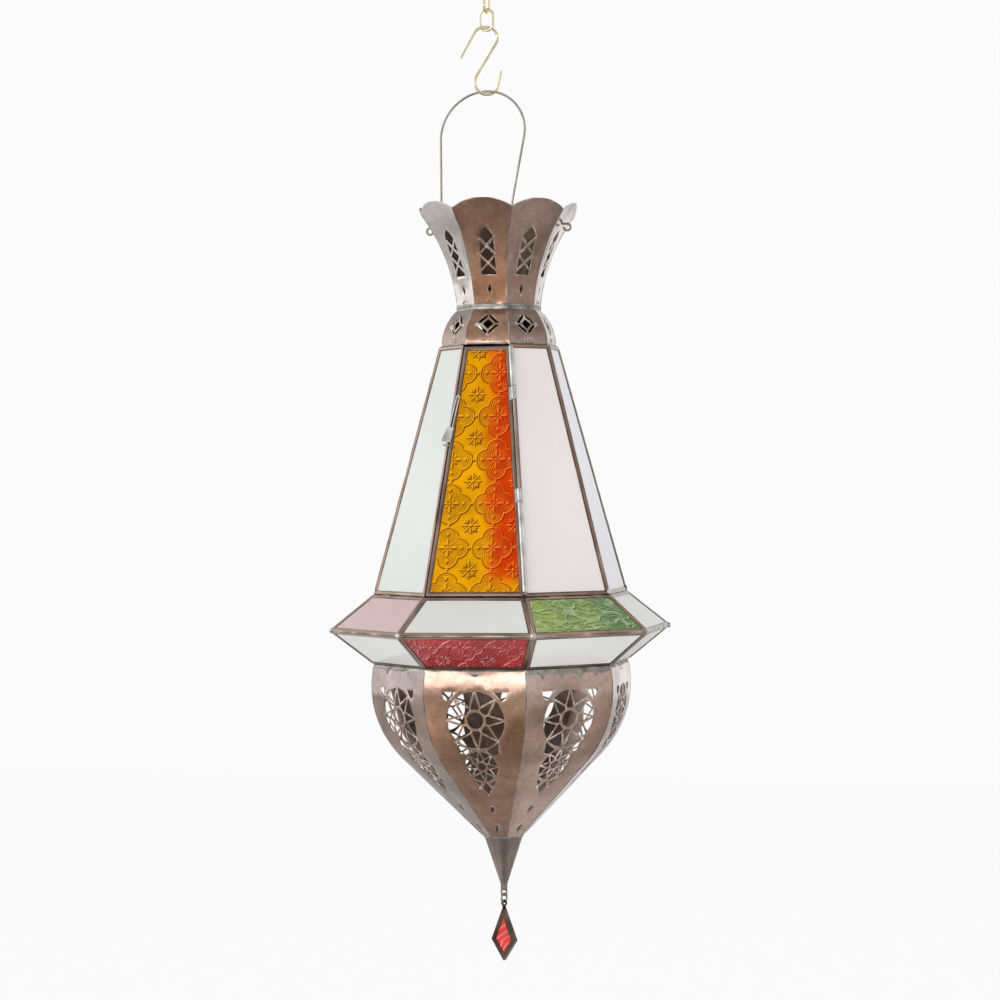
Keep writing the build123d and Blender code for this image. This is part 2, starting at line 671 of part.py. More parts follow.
def drop_frame():
    body = kite_slab(0, KITE_DEPTH) - kite_slab(KITE_BORDER, KITE_DEPTH + OVERRUN)
    body -= kite_slab(KITE_BORDER - KITE_GROOVE, KITE_GLASS + 2 * GLASS_PLAY)
    outer = KITE_EYE_RADIUS + KITE_EYE_WALL
    neck = KITE_BORDER
    tab = Pos(0, KITE_EYE) * Circle(outer) + Pos(0, KITE_EYE - (outer + neck) / 2) * Rectangle(outer, outer + neck)
    tab -= Pos(0, KITE_EYE) * Circle(KITE_EYE_RADIUS)
    eye = extrude(Plane.XZ * tab, KITE_EYE_THICKNESS / 2, both=True)
    return drop_turn(body + (eye - kite_slab(KITE_BORDER - KITE_GROOVE, KITE_DEPTH)))


def drop_glass():
    return drop_turn(kite_slab(KITE_BORDER - KITE_GROOVE + GLASS_PLAY, KITE_GLASS))


# Bent wires

class WirePath:
    """A flat path of straight runs and tangent arcs in X and height."""

    def __init__(self, start, heading):
        self.place = start
        self.heading = heading
        self.edges = []

    def go(self, length):
        ahead = pitched(self.heading)
        end = (self.place[0] + ahead[0] * length, self.place[1] + ahead[1] * length)
        self.edges.append(Line(upright(self.place), upright(end)))
        self.place = end

    def turn(self, radius, angle):
        """Turn left by a positive angle, or right by a negative one."""
        hand = 1 if angle > 0 else -1
        to_centre = pitched(self.heading + 90 * hand)
        centre = (self.place[0] + to_centre[0] * radius, self.place[1] + to_centre[1] * radius)
        points = []
        for share in (0.5, 1):
            spoke = pitched(self.heading - 90 * hand + angle * share)
            points.append((centre[0] + spoke[0] * radius, centre[1] + spoke[1] * radius))
        self.edges.append(ThreePointArc(upright(self.place), upright(points[0]), upright(points[1])))
        self.place = points[1]
        self.heading += angle

    def tube(self, radius):
        first = self.edges[0]
        start = Plane(origin=first @ 0, z_dir=first % 0)
        return sweep(start * Circle(radius), path=Wire(self.edges))


def upright(point):
    return (point[0], 0, point[1])


BAIL_LEFT_LEG = -EAR_APOTHEM + BAIL_LEG_INSET
BAIL_APEX_X = BAIL_LEFT_LEG + BAIL_LEFT_ARCH_RADIUS
BAIL_APEX = EAR_HEIGHT + BAIL_APEX_RISE


def bail_handle():
    """From the left curl through the left ear, up and over, and along the ear axis to the right curl."""
    outside = EAR_APOTHEM + BAIL_EYE_REACH
    tip = rim(BAIL_EYE_RADIUS, 90 + BAIL_EYE_TURN)
    path = WirePath((-outside + tip[0], EAR_HEIGHT - BAIL_EYE_RADIUS + tip[1]), BAIL_EYE_TURN)
    path.turn(BAIL_EYE_RADIUS, -BAIL_EYE_TURN)
    path.go(BAIL_LEFT_LEG - BAIL_BEND_RADIUS - path.place[0])
    path.turn(BAIL_BEND_RADIUS, 90)
    path.go(BAIL_APEX - BAIL_LEFT_ARCH_RADIUS - path.place[1])
    path.turn(BAIL_LEFT_ARCH_RADIUS, -90)
    path.turn(BAIL_RIGHT_ARCH_RADIUS, -90 - BAIL_RIGHT_LEAN)
    foot_drop = BAIL_BEND_RADIUS * (1 - cos(radians(90 + BAIL_RIGHT_LEAN)))
    path.go((path.place[1] - EAR_HEIGHT - foot_drop) / cos(radians(BAIL_RIGHT_LEAN)))
    path.turn(BAIL_BEND_RADIUS, 90 + BAIL_RIGHT_LEAN)
    path.go(outside - path.place[0])
    path.turn(BAIL_EYE_RADIUS, -BAIL_EYE_TURN)
    return path.tube(BAIL_WIRE_RADIUS)


HOOK_SEAT_HEIGHT = BAIL_APEX - BAIL_WIRE_RADIUS - SEAT_GAP - HOOK_WIRE_RADIUS


def hook_path():
    """From the upper tip, over the upper seat, down the shank and round the lower seat."""
    path = WirePath((0, 0), HOOK_UPPER_ARM_PITCH)
    path.go(HOOK_UPPER_ARM)
    path.turn(HOOK_UPPER_OUTER_RADIUS, -HOOK_UPPER_ARM_PITCH)
    path.go(HOOK_UPPER_SEAT / 2)
    upper_seat = path.place
    path.go(HOOK_UPPER_SEAT / 2)
    path.turn(HOOK_UPPER_INNER_RADIUS, HOOK_SHANK_PITCH - 180)
    path.go(HOOK_SHANK)
    path.turn(HOOK_LOWER_RADIUS, 180 - HOOK_SHANK_PITCH)
    path.go(HOOK_LOWER_SEAT / 2)
    lower_seat = path.place
    path.go(HOOK_LOWER_SEAT / 2)
    path.turn(HOOK_LOWER_RADIUS, HOOK_LOWER_ARM_PITCH)
    path.go(HOOK_LOWER_ARM)
    return path, upper_seat, lower_seat


def s_hook():
    path, upper_seat, lower_seat = hook_path()
    tube = Pos(-lower_seat[0], 0, -lower_seat[1]) * path.tube(HOOK_WIRE_RADIUS)
    return Pos(BAIL_APEX_X, 0, HOOK_SEAT_HEIGHT) * (Rot(0, 0, HOOK_YAW) * tube)


def hook_top():
    """The middle of the hook's upper seat, where the lower link hangs it."""
    path, upper_seat, lower_seat = hook_path()
    across = upper_seat[0] - lower_seat[0]
    return Vector(BAIL_APEX_X + across * cos(radians(HOOK_YAW)), across * sin(radians(HOOK_YAW)),
                  HOOK_SEAT_HEIGHT + upper_seat[1] - lower_seat[1])


HOOK_TOP = hook_top()
LINK_RISE = LINK_STRAIGHT + 2 * LINK_BEND_RADIUS
LOWER_LINK_FOOT = HOOK_TOP.Z - HOOK_WIRE_RADIUS - SEAT_GAP - LINK_WIRE_RADIUS
LOWER_LINK_TOP = LOWER_LINK_FOOT + LINK_RISE
UPPER_LINK_FOOT = LOWER_LINK_TOP - 2 * LINK_WIRE_RADIUS - SEAT_GAP
HANG_EYE = Vector(HOOK_TOP.X, HOOK_TOP.Y, UPPER_LINK_FOOT + LINK_RISE - LINK_WIRE_RADIUS)


def chain_link(foot, yaw):
    """A long oval link, the middle of its lower bend's wire at a height."""
    path = WirePath((LINK_BEND_RADIUS, foot + LINK_BEND_RADIUS), 90)
    for bend in range(2):
        path.go(LINK_STRAIGHT)
        path.turn(LINK_BEND_RADIUS, 180)
    return Pos(HANG_EYE.X, HANG_EYE.Y, 0) * (Rot(0, 0, yaw) * path.tube(LINK_WIRE_RADIUS))


# Candle holder

BRIDGE_TOP = BOWL_TOP - BRIDGE_DROP
BRIDGE_REACH = BOWL_PROFILE.apothem(BRIDGE_TOP) - SHEET - SEAT_GAP
DISH_FLOOR = BRIDGE_TOP + SHEET
CUP_TOP = DISH_FLOOR + CUP_HEIGHT


def candle_bridge():
    """A strip across the bowl from wall to wall, its ends bent down as tabs."""
    half = BRIDGE_REACH
    section = polygon([(-half, BRIDGE_TOP), (half, BRIDGE_TOP), (half, BRIDGE_TOP - BRIDGE_TAB),
                       (half - BRIDGE_THICKNESS, BRIDGE_TOP - BRIDGE_TAB),
                       (half - BRIDGE_THICKNESS, BRIDGE_TOP - BRIDGE_THICKNESS),
                       (-half + BRIDGE_THICKNESS, BRIDGE_TOP - BRIDGE_THICKNESS),
                       (-half + BRIDGE_THICKNESS, BRIDGE_TOP - BRIDGE_TAB), (-half, BRIDGE_TOP - BRIDGE_TAB)])
    return extrude(Plane.XZ * section, BRIDGE_WIDTH / 2, both=True)


def drip_dish():
    """A shallow round dish that lies on the bridge."""
    section = polygon([(0, BRIDGE_TOP), (DISH_RADIUS, BRIDGE_TOP), (DISH_RADIUS, BRIDGE_TOP + DISH_LIP),
                       (DISH_RADIUS - SHEET, BRIDGE_TOP + DISH_LIP), (DISH_RADIUS - SHEET, DISH_FLOOR),
                       (0, DISH_FLOOR)])
    return revolve(Plane.XZ * section, Axis.Z)


def candle_cup():
    outer = CUP_BORE_RADIUS + CUP_WALL
    tube = Circle(outer) - Circle(CUP_BORE_RADIUS)
    return Pos(0, 0, DISH_FLOOR) * extrude(tube, CUP_HEIGHT)


def around(shape, sides):
    """Copies of one side's shape at the sides given."""
    return [at_side(side, shape) for side in sides]


def nodes():
    """Every named piece, each a list of its separate solids."""
    every_side = range(SIDES)
    pieces = {
        "chain_link_upper": [chain_link(UPPER_LINK_FOOT, LINK_UPPER_YAW)],
        "chain_link_lower": [chain_link(LOWER_LINK_FOOT, LINK_LOWER_YAW)],
        "s_hook": [s_hook()],
        "bail_handle": [bail_handle()],
        "neck_band": [neck_band()],
        "shoulder_gores": around(shoulder_gore(), every_side),
    }
    plain_petal = crown_petal(False)
    ear_petal = crown_petal(True)
    gore = bowl_gore()
    side_frame = BODY_SIDE.frame()
    side_pane = BODY_SIDE.pane()
    for side in every_side:
        petal = ear_petal if side in EAR_SIDES else plain_petal
        pieces[f"crown_petal_{side}"] = [at_side(side, petal)]
        pieces[f"bowl_gore_{side}"] = [at_side(side, gore)]
        if side != DOOR:
            pieces[f"side_frame_{side}"] = [at_side(side, side_frame)]
            pieces[f"side_pane_{side}"] = [at_side(side, side_pane)]

    pieces["upper_apron_frames"] = around(UPPER_SIDE.frame(), every_side)
    pieces["upper_panes_white"] = around(UPPER_SIDE.pane(), EVEN_SIDES)
    pieces["upper_panes_green"] = around(UPPER_SIDE.pane(), GREEN_SIDES)
    pieces["upper_panes_pink"] = around(UPPER_SIDE.pane(), PINK_SIDES)
    pieces["lower_apron_frames"] = around(LOWER_SIDE.frame(), every_side)
    white_sides = [side for side in every_side if side not in RED_SIDES]
    pieces["lower_panes_white"] = around(LOWER_SIDE.pane(), white_sides)
    pieces["lower_panes_red"] = around(LOWER_SIDE.pane(), RED_SIDES)

    door_pieces = {
        "door_frame": [DOOR_SIDE.frame()],
        "door_pane": [DOOR_SIDE.pane()],
        "hinge_tubes": hinge_tubes(),
        "hinge_lugs": hinge_lugs(),
        "hinge_pin": [hinge_pin()],
        "latch_pin": [latch_pin()],
        "latch_wire": [latch_wire()],
        "latch_tab": [latch_tab()],
        "latch_stop": [latch_stop()],
    }
    for name, solids in door_pieces.items():
        pieces[name] = [at_side(DOOR, solid) for solid in solids]

    pieces["spike_cone"] = [spike_cone()]
    pieces["drop_strap"] = [drop_strap()]
    pieces["drop_ring"] = [drop_ring()]
    pieces["drop_frame"] = [drop_frame()]
    pieces["drop_glass"] = [drop_glass()]
    pieces["candle_bridge"] = [candle_bridge()]
    pieces["drip_dish"] = [drip_dish()]
    pieces["candle_cup"] = [candle_cup()]
    return pieces


def main():
    os.makedirs("parts", exist_ok=True)
    to_hang_eye = Pos(-HANG_EYE.X, -HANG_EYE.Y, -HANG_EYE.Z)
    for name, shapes in nodes().items():
        solids = [solid for shape in shapes for solid in (to_hang_eye * shape).solids()]
        export_step(Compound(solids), f"parts/{name}.step")
        print(name, len(solids))


if __name__ == "__main__":
    main()
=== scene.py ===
from math import cos, pi, radians, sin, tan

import bpy
import numpy as np
from mathutils import Matrix, Vector, noise
from mathutils.geometry import delaunay_2d_cdt


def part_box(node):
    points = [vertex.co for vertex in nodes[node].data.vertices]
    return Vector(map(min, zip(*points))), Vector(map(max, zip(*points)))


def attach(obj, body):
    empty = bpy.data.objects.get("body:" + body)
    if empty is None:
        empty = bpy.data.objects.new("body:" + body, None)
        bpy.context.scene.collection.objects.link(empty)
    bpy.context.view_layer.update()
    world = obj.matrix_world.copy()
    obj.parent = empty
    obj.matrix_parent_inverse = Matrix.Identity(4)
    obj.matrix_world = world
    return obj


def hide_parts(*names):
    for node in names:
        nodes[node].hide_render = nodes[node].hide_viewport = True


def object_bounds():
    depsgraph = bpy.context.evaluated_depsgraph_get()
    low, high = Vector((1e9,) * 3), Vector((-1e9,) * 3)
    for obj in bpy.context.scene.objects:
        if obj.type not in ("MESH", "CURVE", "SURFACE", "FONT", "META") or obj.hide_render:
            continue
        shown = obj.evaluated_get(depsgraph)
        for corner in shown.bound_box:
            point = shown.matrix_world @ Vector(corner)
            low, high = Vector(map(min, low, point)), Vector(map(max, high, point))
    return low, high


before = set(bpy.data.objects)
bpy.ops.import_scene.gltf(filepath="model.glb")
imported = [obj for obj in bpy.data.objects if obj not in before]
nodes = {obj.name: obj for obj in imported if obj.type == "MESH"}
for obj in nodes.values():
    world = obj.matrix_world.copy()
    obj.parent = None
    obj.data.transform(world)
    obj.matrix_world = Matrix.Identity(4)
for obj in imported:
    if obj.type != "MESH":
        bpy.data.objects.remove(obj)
cad_low, cad_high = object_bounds()

SIDES = 8
HALF_SIDE_SHARE = tan(pi / SIDES)
MM = 0.001
UP = np.array((0, 0, 1))

# Reading the CAD: least cosines of a face turned outward, and how near points count as level, in millimetres
SHEET_FACING = 0.6
PANEL_FACING = 0.5
SAME_LEVEL = 0.01
SAME_PLANE = 0.02
SAME_ROW = 0.05

# The lantern's axis and the level of its neck, from the neck band
neck_low, neck_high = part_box("neck_band")
AXIS = (neck_low + neck_high) / 2
NECK = AXIS.z

# Camera, in metres and degrees
CAMERA_DISTANCE = 1.7745
CAMERA_AZIMUTH = 12.62
CAMERA_BELOW_NECK = 0.1290
CAMERA_LENS = 91.26
CAMERA_ROLL = -0.505
CAMERA_SHIFT = (-0.0006, -0.0055)

# Sheet metal, in millimetres
SHEET = 0.6
SHEET_STEP = 2.4
OUTLINE_STEP = 1.4
EDGE_ROUND = 0.55
EDGE_DROP = 0.1
EDGE_TOUCH = 0.3
BULGE = {"crown": 0.7, "shoulder": 0.5, "bowl": 1.1}
ROUND_END = 45
BOWL_BEND_DROP = 65.8
PROFILE_DEGREE = 7
DENT_DEPTH = 0.42
DENT_SIZE = 24
RIPPLE_DEPTH = 0.09
RIPPLE_SIZE = 8
STILL_EDGE = 4

# Channel frames: points across the face as (share of the face, depth in millimetres), outside to inside, how
# much of the painted glint each of them takes, and points across the back as (share, height over the back)
CAME_FACE_POINTS = ((0.0, 0.6), (0.03, 0.25), (0.14, 0.07), (0.32, 0.0), (0.66, 0.0), (0.84, 0.06),
                    (0.96, 0.2), (1.0, 0.42))
CAME_GLINT = (0, 0, 0.15, 1, 1, 0.15, 0, 0)
CAME_BACK_POINTS = ((1.0, 0.25), (0.9, 0.0), (0.12, 0.0), (0.0, 0.3))
CAME_GROOVE_SHARE = 0.6
CAME_GLASS_GAP = 0.08
CAME_WOBBLE = 0.07
CAME_WOBBLE_SIZE = 9
CAME_STEP = 6.0

# Solder: width and height of the seams, how deep they sit and how uneven they are, in millimetres
SHEET_SEAMS = {"crown": (0.8, 0.34), "shoulder": (0.9, 0.34), "bowl": (0.85, 0.36)}
SEAM_SUNK = 0.2
SEAM_END = 0.6
SEAM_STEP = 1.6
SEAM_LUMP = 0.2
BODY_SEAM = (1.1, 0.55)
BODY_SEAM_SUNK = 0.45
APRON_SEAM = (1.0, 0.48)
APRON_SEAM_SUNK = 0.4
BEAD_SECTION = 8
SWELL_SIZE = 5
DRIFT_SIZE = 7
BLOB_SECTION = 12
PATCH_ROWS = 9

# How far solder has run down each bowl gore from its top: least, spread and number of drips, in millimetres
BOWL_RUNS = ((0.7, 0.5, 0), (2.6, 1.8, 4), (1.2, 0.8, 1), (1.6, 1.2, 2), (0.8, 0.6, 0), (2.2, 1.6, 3),
             (1.4, 1.0, 1), (1.8, 1.2, 2))
DRIP_LENGTH = 3.2
DRIP_WIDTH = 1.5

# Drops of solder as (how deep they sit, radius, height), and the marks on the sheets, in millimetres
BODY_DROP = (0.7, 2.2, 0.8)
BODY_DROP_FROM_CORNER = 1.6
WAIST_DROP = (1.3, 2.3, 1.2)
DOT_ASIDE = 1.9
DOT_ABOVE_FOOT = 3.6
DOT_RADIUS = 1.25
ARC_ABOVE_FOOT = 1.6
ARC_RADIUS = 2.9
TAB_HALF = 2.3
TAB_TOP_DROP = 2.0
TAB_FOOT_DROP = 3.9

# Pressed glass: a square lattice of quatrefoils with a flower in every gap, in millimetres
LATTICE = 30.7
LOBE = 6.9
RELIEF = 0.42
GREEN_RELIEF = 0.45
PINK_RELIEF = 0.1
DROP_RELIEF = 0.3
GLASS_STEP = 0.42
GREEN_STEP = 0.55
PINK_STEP = 0.8
DOOR_PATTERN = (10.5, 7.2)
RED_PATTERN = (-4.0, 6.0)
CROSS = ((1, 0), (-1, 0), (0, 1), (0, -1))

# Studio
BACKDROP = 0.965
AMBIENT = 0.78
FLOOR_GLOW = 0.33
FLOOR_HALF = 9.0
FLOOR_DROP = 0.9
AIM_BELOW_NECK = 0.17
FRONT = (sin(radians(CAMERA_AZIMUTH)), -cos(radians(CAMERA_AZIMUTH)), 0)
LEFT = (-cos(radians(CAMERA_AZIMUTH)), -sin(radians(CAMERA_AZIMUTH)), 0)

# Lamps: azimuth, elevation, distance, width and height, power, and whether metal mirrors them
LAMPS = {"key": (-50, 38, 2.4, (1.4, 1.4), 3.2, False),
         "fill_right": (62, 8, 2.4, (1.4, 1.4), 5.2, False),
         "fill_low": (8, -34, 1.1, (1.2, 1.2), 2.4, False),
         "front_box": (-13, 8, 2.0, (0.8, 0.5), 4.4, True),
         "left_strip": (-35, 2, 2.0, (0.3, 1.1), 2.0, True),
         "right_strip": (9, 6, 2.0, (0.14, 0.6), 0.5, True)}


def side_axes(side):
    """Outward and sideways directions of a side. Side 0 is the door, at -Y."""
    turn = radians(-90 + 360 / SIDES * side)
    return np.array(Vector((cos(turn), sin(turn), 0))), np.array(Vector((-sin(turn), cos(turn), 0)))


def from_axis(points):
    """Level directions from the axis to a point or to each of some points."""
    radial = points * np.array((1, 1, 0))
    return radial / np.linalg.norm(radial, axis=-1, keepdims=True)


def smooth(low, high, value):
    """A soft step from 0 at low to 1 at high."""
    share = np.clip((value - low) / (high - low), 0, 1)
    return share * share * (3 - 2 * share)


def ridge(distance, width):
    """A rounded ridge: 1 on its line, falling off with the distance from it."""
    return np.exp(-(distance / width) ** 2)


def wavy(x, y, size, seed, field=noise.noise):
    """Noise over flat places, with features of a size."""
    values = [field(Vector((u / size, v / size, seed))) for u, v in zip(x.ravel(), y.ravel())]
    return np.array(values).reshape(x.shape)


# Node materials

def connect(tree, node, inputs):
    """Link a node's inputs to outputs, or set them to values."""
    for name, value in inputs.items():
        if isinstance(value, bpy.types.NodeSocket):
            tree.links.new(value, node.inputs[name])
        else:
            node.inputs[name].default_value = value


def add(tree, kind, inputs=None, **settings):
    """A shader node with its settings and inputs."""
    node = tree.nodes.new(kind)
    for name, value in settings.items():
        setattr(node, name, value)
    connect(tree, node, inputs or {})
    return node


def rgba(colour):
    """A colour as nodes take it. A number stands for a grey."""
    return (*colour, 1) if isinstance(colour, tuple) else (colour, colour, colour, 1)


def ramp(tree, factor, *stops):
    """A colour ramp of (place, colour) stops."""
    node = add(tree, "ShaderNodeValToRGB", {"Fac": factor})
    for index, (place, colour) in enumerate(stops):
        if index > 1:
            node.color_ramp.elements.new(place)
        node.color_ramp.elements[index].position = place
        node.color_ramp.elements[index].color = rgba(colour)
    return node.outputs["Color"]


def level(tree, factor, low, high, first=0, last=1):
    """A number that runs from first to last while the factor runs from low to high."""
    node = add(tree, "ShaderNodeMapRange", {"Value": factor, "From Min": low, "From Max": high,
                                            "To Min": first, "To Max": last}, clamp=True)
    return node.outputs["Result"]


def mix(tree, factor, first, second, kind="MIX"):
    """A colour between two, or worked out from both."""
    first, second = (v if isinstance(v, bpy.types.NodeSocket) else rgba(v) for v in (first, second))
    node = add(tree, "ShaderNodeMix", data_type="RGBA", blend_type=kind)
    connect(tree, node, {0: factor, 6: first, 7: second})
    return node.outputs[2]


def multiplied(tree, first, second):
    return mix(tree, 1.0, first, second, "MULTIPLY")


def calc(tree, operation, *values):
    """A number worked out from others."""
    return add(tree, "ShaderNodeMath", dict(enumerate(values)), operation=operation).outputs["Value"]


def along(tree, place, direction):
    """How far a place lies along a direction."""
    node = add(tree, "ShaderNodeVectorMath", {0: place, 1: direction}, operation="DOT_PRODUCT")
    return node.outputs["Value"]


def attribute(tree, name):
    return add(tree, "ShaderNodeAttribute", attribute_name=name).outputs["Fac"]


def speckle(tree, place, scale, detail, roughness, stretch=None):
    """A noise value over places. Scale is features per metre."""
    if stretch:
        place = add(tree, "ShaderNodeMapping", {"Vector": place, "Scale": stretch}).outputs["Vector"]
    return add(tree, "ShaderNodeTexNoise", {"Vector": place, "Scale": scale, "Detail": detail,
                                            "Roughness": roughness}).outputs["Fac"]


def bump(tree, height, depth, **under):
    return add(tree, "ShaderNodeBump", {"Height": height, "Distance": depth * MM, "Strength": 1.0,
                                        **under}).outputs["Normal"]


def new_material(name):
    """A material, its node tree, its main shader and the object's own coordinates."""
    material = bpy.data.materials.new(name)
    material.use_nodes = True
    tree = material.node_tree
    place = add(tree, "ShaderNodeTexCoord").outputs["Object"]
    return material, tree, tree.nodes["Principled BSDF"], place


def metal(name, tones, rough, patch=22, grain=(1, 1, 1), dent=0.0, stain=None, coat=0.0, edge=None,
          glint_patches=(190, 0.48, 0.60, 0.06), shade_by_height=()):
    """Metal: dark, middle and light tones in patches, fine grain, uneven gloss and shallow dents.
    Stain is a colour for spots, edge a painted glint colour for the points whose edge attribute is 1, there
    in patches given by glint_patches, and shade_by_height paints light and shade as multipliers by height
    above the neck in millimetres, lowest first."""
    material, tree, shader, place = new_material(name)
    fine = speckle(tree, place, patch * 16, 4, 0.55, grain)
    colour = ramp(tree, speckle(tree, place, patch, 4, 0.52), *zip((0.32, 0.50, 0.68), tones))
    colour = multiplied(tree, colour, ramp(tree, fine, (0.28, (0.86, 0.85, 0.85)), (0.7, 1.05)))
    if stain:
        spots = level(tree, speckle(tree, place, patch * 1.3, 3, 0.5), 0.56, 0.68, 0, 0.85)
        colour = mix(tree, spots, colour, stain)
    # Painted light and shade: the colour multiplied by height above the neck
    if shade_by_height:
        low, high = shade_by_height[0][0], shade_by_height[-1][0]
        height = add(tree, "ShaderNodeSeparateXYZ", {"Vector": place}).outputs["Z"]
        share = level(tree, height, NECK + low * MM, NECK + high * MM)
        stops = [((z - low) / (high - low), tint) for z, tint in shade_by_height]
        colour = multiplied(tree, colour, ramp(tree, share, *stops))
    # Painted glint on the points marked as edge, in patches
    if edge:
        scale, low, high, least = glint_patches
        glinting = level(tree, speckle(tree, place, scale, 3, 0.6), low, high, least)
        colour = mix(tree, calc(tree, "MULTIPLY", attribute(tree, "edge"), glinting), colour, edge)
    gloss = level(tree, speckle(tree, place, patch * 3, 4, 0.6), 0.3, 0.7, *rough)
    normal = bump(tree, fine, 0.012)
    if dent:
        normal = bump(tree, speckle(tree, place, 62, 2, 0.45), dent, Normal=normal)
    connect(tree, shader, {"Base Color": colour, "Roughness": gloss, "Normal": normal, "Metallic": 1.0,
                           "Coat Weight": coat, "Coat Roughness": 0.14})
    return material


def sheet_copper(name, tones, coat=0.5, shade_by_height=(), rough=(0.14, 0.28)):
    """Copper sheet with hand dents, and a painted glint on its cut edges."""
    return metal("copper_" + name, tones, rough, dent=0.5, coat=coat, edge=EDGE_GLINT, shade_by_height=shade_by_height)


def opal_glass(name, tone, other):
    """White opal sheet glass: smooth gloss over a cloudy body, uneven in tone across each pane."""
    material, tree, shader, place = new_material(name)
    wisps = speckle(tree, place, 55, 4, 0.6, (1, 1, 0.4))
    colour = mix(tree, level(tree, speckle(tree, place, 9, 3, 0.5), 0.35, 0.65), tone, other)
    colour = mix(tree, level(tree, wisps, 0.45, 0.8, 0, 0.16), colour, tuple(0.9 * v for v in tone))
    gloss = level(tree, wisps, 0.3, 0.7, 0.05, 0.11)
    normal = bump(tree, speckle(tree, place, 38, 2, 0.4), 0.05)
    connect(tree, shader, {"Base Color": colour, "Roughness": gloss, "Normal": normal, "IOR": GLASS_IOR})
    return material


def pressed_glass(name, tones, glints, shadows, cloud=0.8, shine=0.45, lifted=0.6):
    """Coloured pressed glass. The tone runs between two colours, raised tops take some of the glint as a
    painted highlight, and slopes take a painted shadow colour on the side turned from the light and the
    painted glint on the other."""
    material, tree, shader, place = new_material(name)
    tone, slope, raised = (attribute(tree, key) for key in ("tone", "slope", "raised"))
    seeds = speckle(tree, place, 900, 3, 0.6)
    clouds = ramp(tree, speckle(tree, place, 60, 4, 0.6), (0.32, cloud), (0.66, 1.04))
    colour = multiplied(tree, mix(tree, tone, *tones), clouds)
    glint = mix(tree, tone, *glints)
    colour = mix(tree, level(tree, raised, 0.3, 1.0, 0, lifted), colour, glint)
    colour = mix(tree, level(tree, slope, 0.44, 0.08, 0, 0.95), colour, mix(tree, tone, *shadows))
    colour = mix(tree, level(tree, slope, 0.58, 0.9, 0, 0.9), colour, glint)
    gloss = level(tree, seeds, 0.3, 0.7, 0.04, 0.1)
    connect(tree, shader, {"Base Color": colour, "Roughness": gloss, "Normal": bump(tree, seeds, 0.012),
                           "IOR": GLASS_IOR, "Specular IOR Level": shine})
    return material


GLASS_IOR = 1.52
# Near-white painted glint along the sheets' free cut edges
EDGE_GLINT = (0.95, 0.88, 0.83)
# Multipliers of the copper colour by height above the neck in millimetres, lowest first: painted light and
# shade. Darker at the bowl's foot, at the neck and towards the crown's top, cooler on the highlight band at
# the bowl's top, lighter on the shoulder's foot. FAINT_HEIGHT_SHADE is the same at half strength.
HEIGHT_SHADE = ((-368, (0.78, 0.80, 0.86)), (-345, (0.90, 0.92, 0.98)), (-310, (0.84, 0.82, 0.80)),
          (-285, (1.06, 1.01, 0.95)), (-270, (1.04, 1.04, 1.05)), (-260, (0.98, 1.04, 1.14)),
          (-246, (0.93, 1.05, 1.26)), (-25, (1.10, 1.14, 1.18)), (-14, (0.80, 0.78, 0.76)),
          (-2, (0.60, 0.58, 0.58)), (4, (0.80, 0.74, 0.70)), (10, (0.92, 0.74, 0.57)),
          (22, (0.94, 0.80, 0.65)), (35, (0.92, 0.88, 0.85)), (60, (0.70, 0.67, 0.68)),
          (80, (0.62, 0.60, 0.61)))
FAINT_HEIGHT_SHADE = [(z, tuple(0.5 + 0.5 * v for v in tint)) for z, tint in HEIGHT_SHADE]
WARM = sheet_copper("warm", ((0.30, 0.165, 0.106), (0.46, 0.272, 0.182), (0.62, 0.395, 0.28)), 0.5, HEIGHT_SHADE)
MAUVE = sheet_copper("mauve", ((0.31, 0.206, 0.164), (0.475, 0.33, 0.264), (0.62, 0.46, 0.385)), 0.4,
                     FAINT_HEIGHT_SHADE)
RUSSET = sheet_copper("russet", ((0.22, 0.15, 0.12), (0.335, 0.232, 0.186), (0.46, 0.335, 0.28)), 0.5,
                      FAINT_HEIGHT_SHADE)
BROWN = sheet_copper("brown", ((0.22, 0.156, 0.127), (0.33, 0.244, 0.20), (0.47, 0.37, 0.315)), 0.3,
                     HEIGHT_SHADE)
# Pale and bright copper: a greyer tone that also paints the white surroundings mirrored by sides seen at a
# slant
PALE = sheet_copper("pale", ((0.42, 0.36, 0.345), (0.58, 0.52, 0.505), (0.74, 0.68, 0.67)),
                    rough=(0.12, 0.26))
BRIGHT_REFLECTION = sheet_copper("bright_reflection", ((0.54, 0.48, 0.46), (0.72, 0.67, 0.65), (0.86, 0.82, 0.81)),
                        rough=(0.12, 0.26))
DULL = metal("copper_dull", ((0.21, 0.168, 0.15), (0.30, 0.245, 0.218), (0.42, 0.355, 0.325)), (0.30, 0.46),
             40, dent=0.3)
# Near-black copper for the inner faces of crown and shoulder: painted shade for their dark inside
SHADED_INSIDE = metal("copper_shaded_inside", ((0.035, 0.024, 0.018), (0.07, 0.05, 0.038), (0.12, 0.09, 0.07)), (0.3, 0.5), 40)
INSIDE = metal("copper_inside", ((0.45, 0.356, 0.306), (0.65, 0.53, 0.47), (0.80, 0.69, 0.62)), (0.3, 0.48),
               30)
CUT = metal("copper_cut", ((0.55, 0.38, 0.30), (0.74, 0.56, 0.47), (0.88, 0.74, 0.66)), (0.2, 0.36), 90)
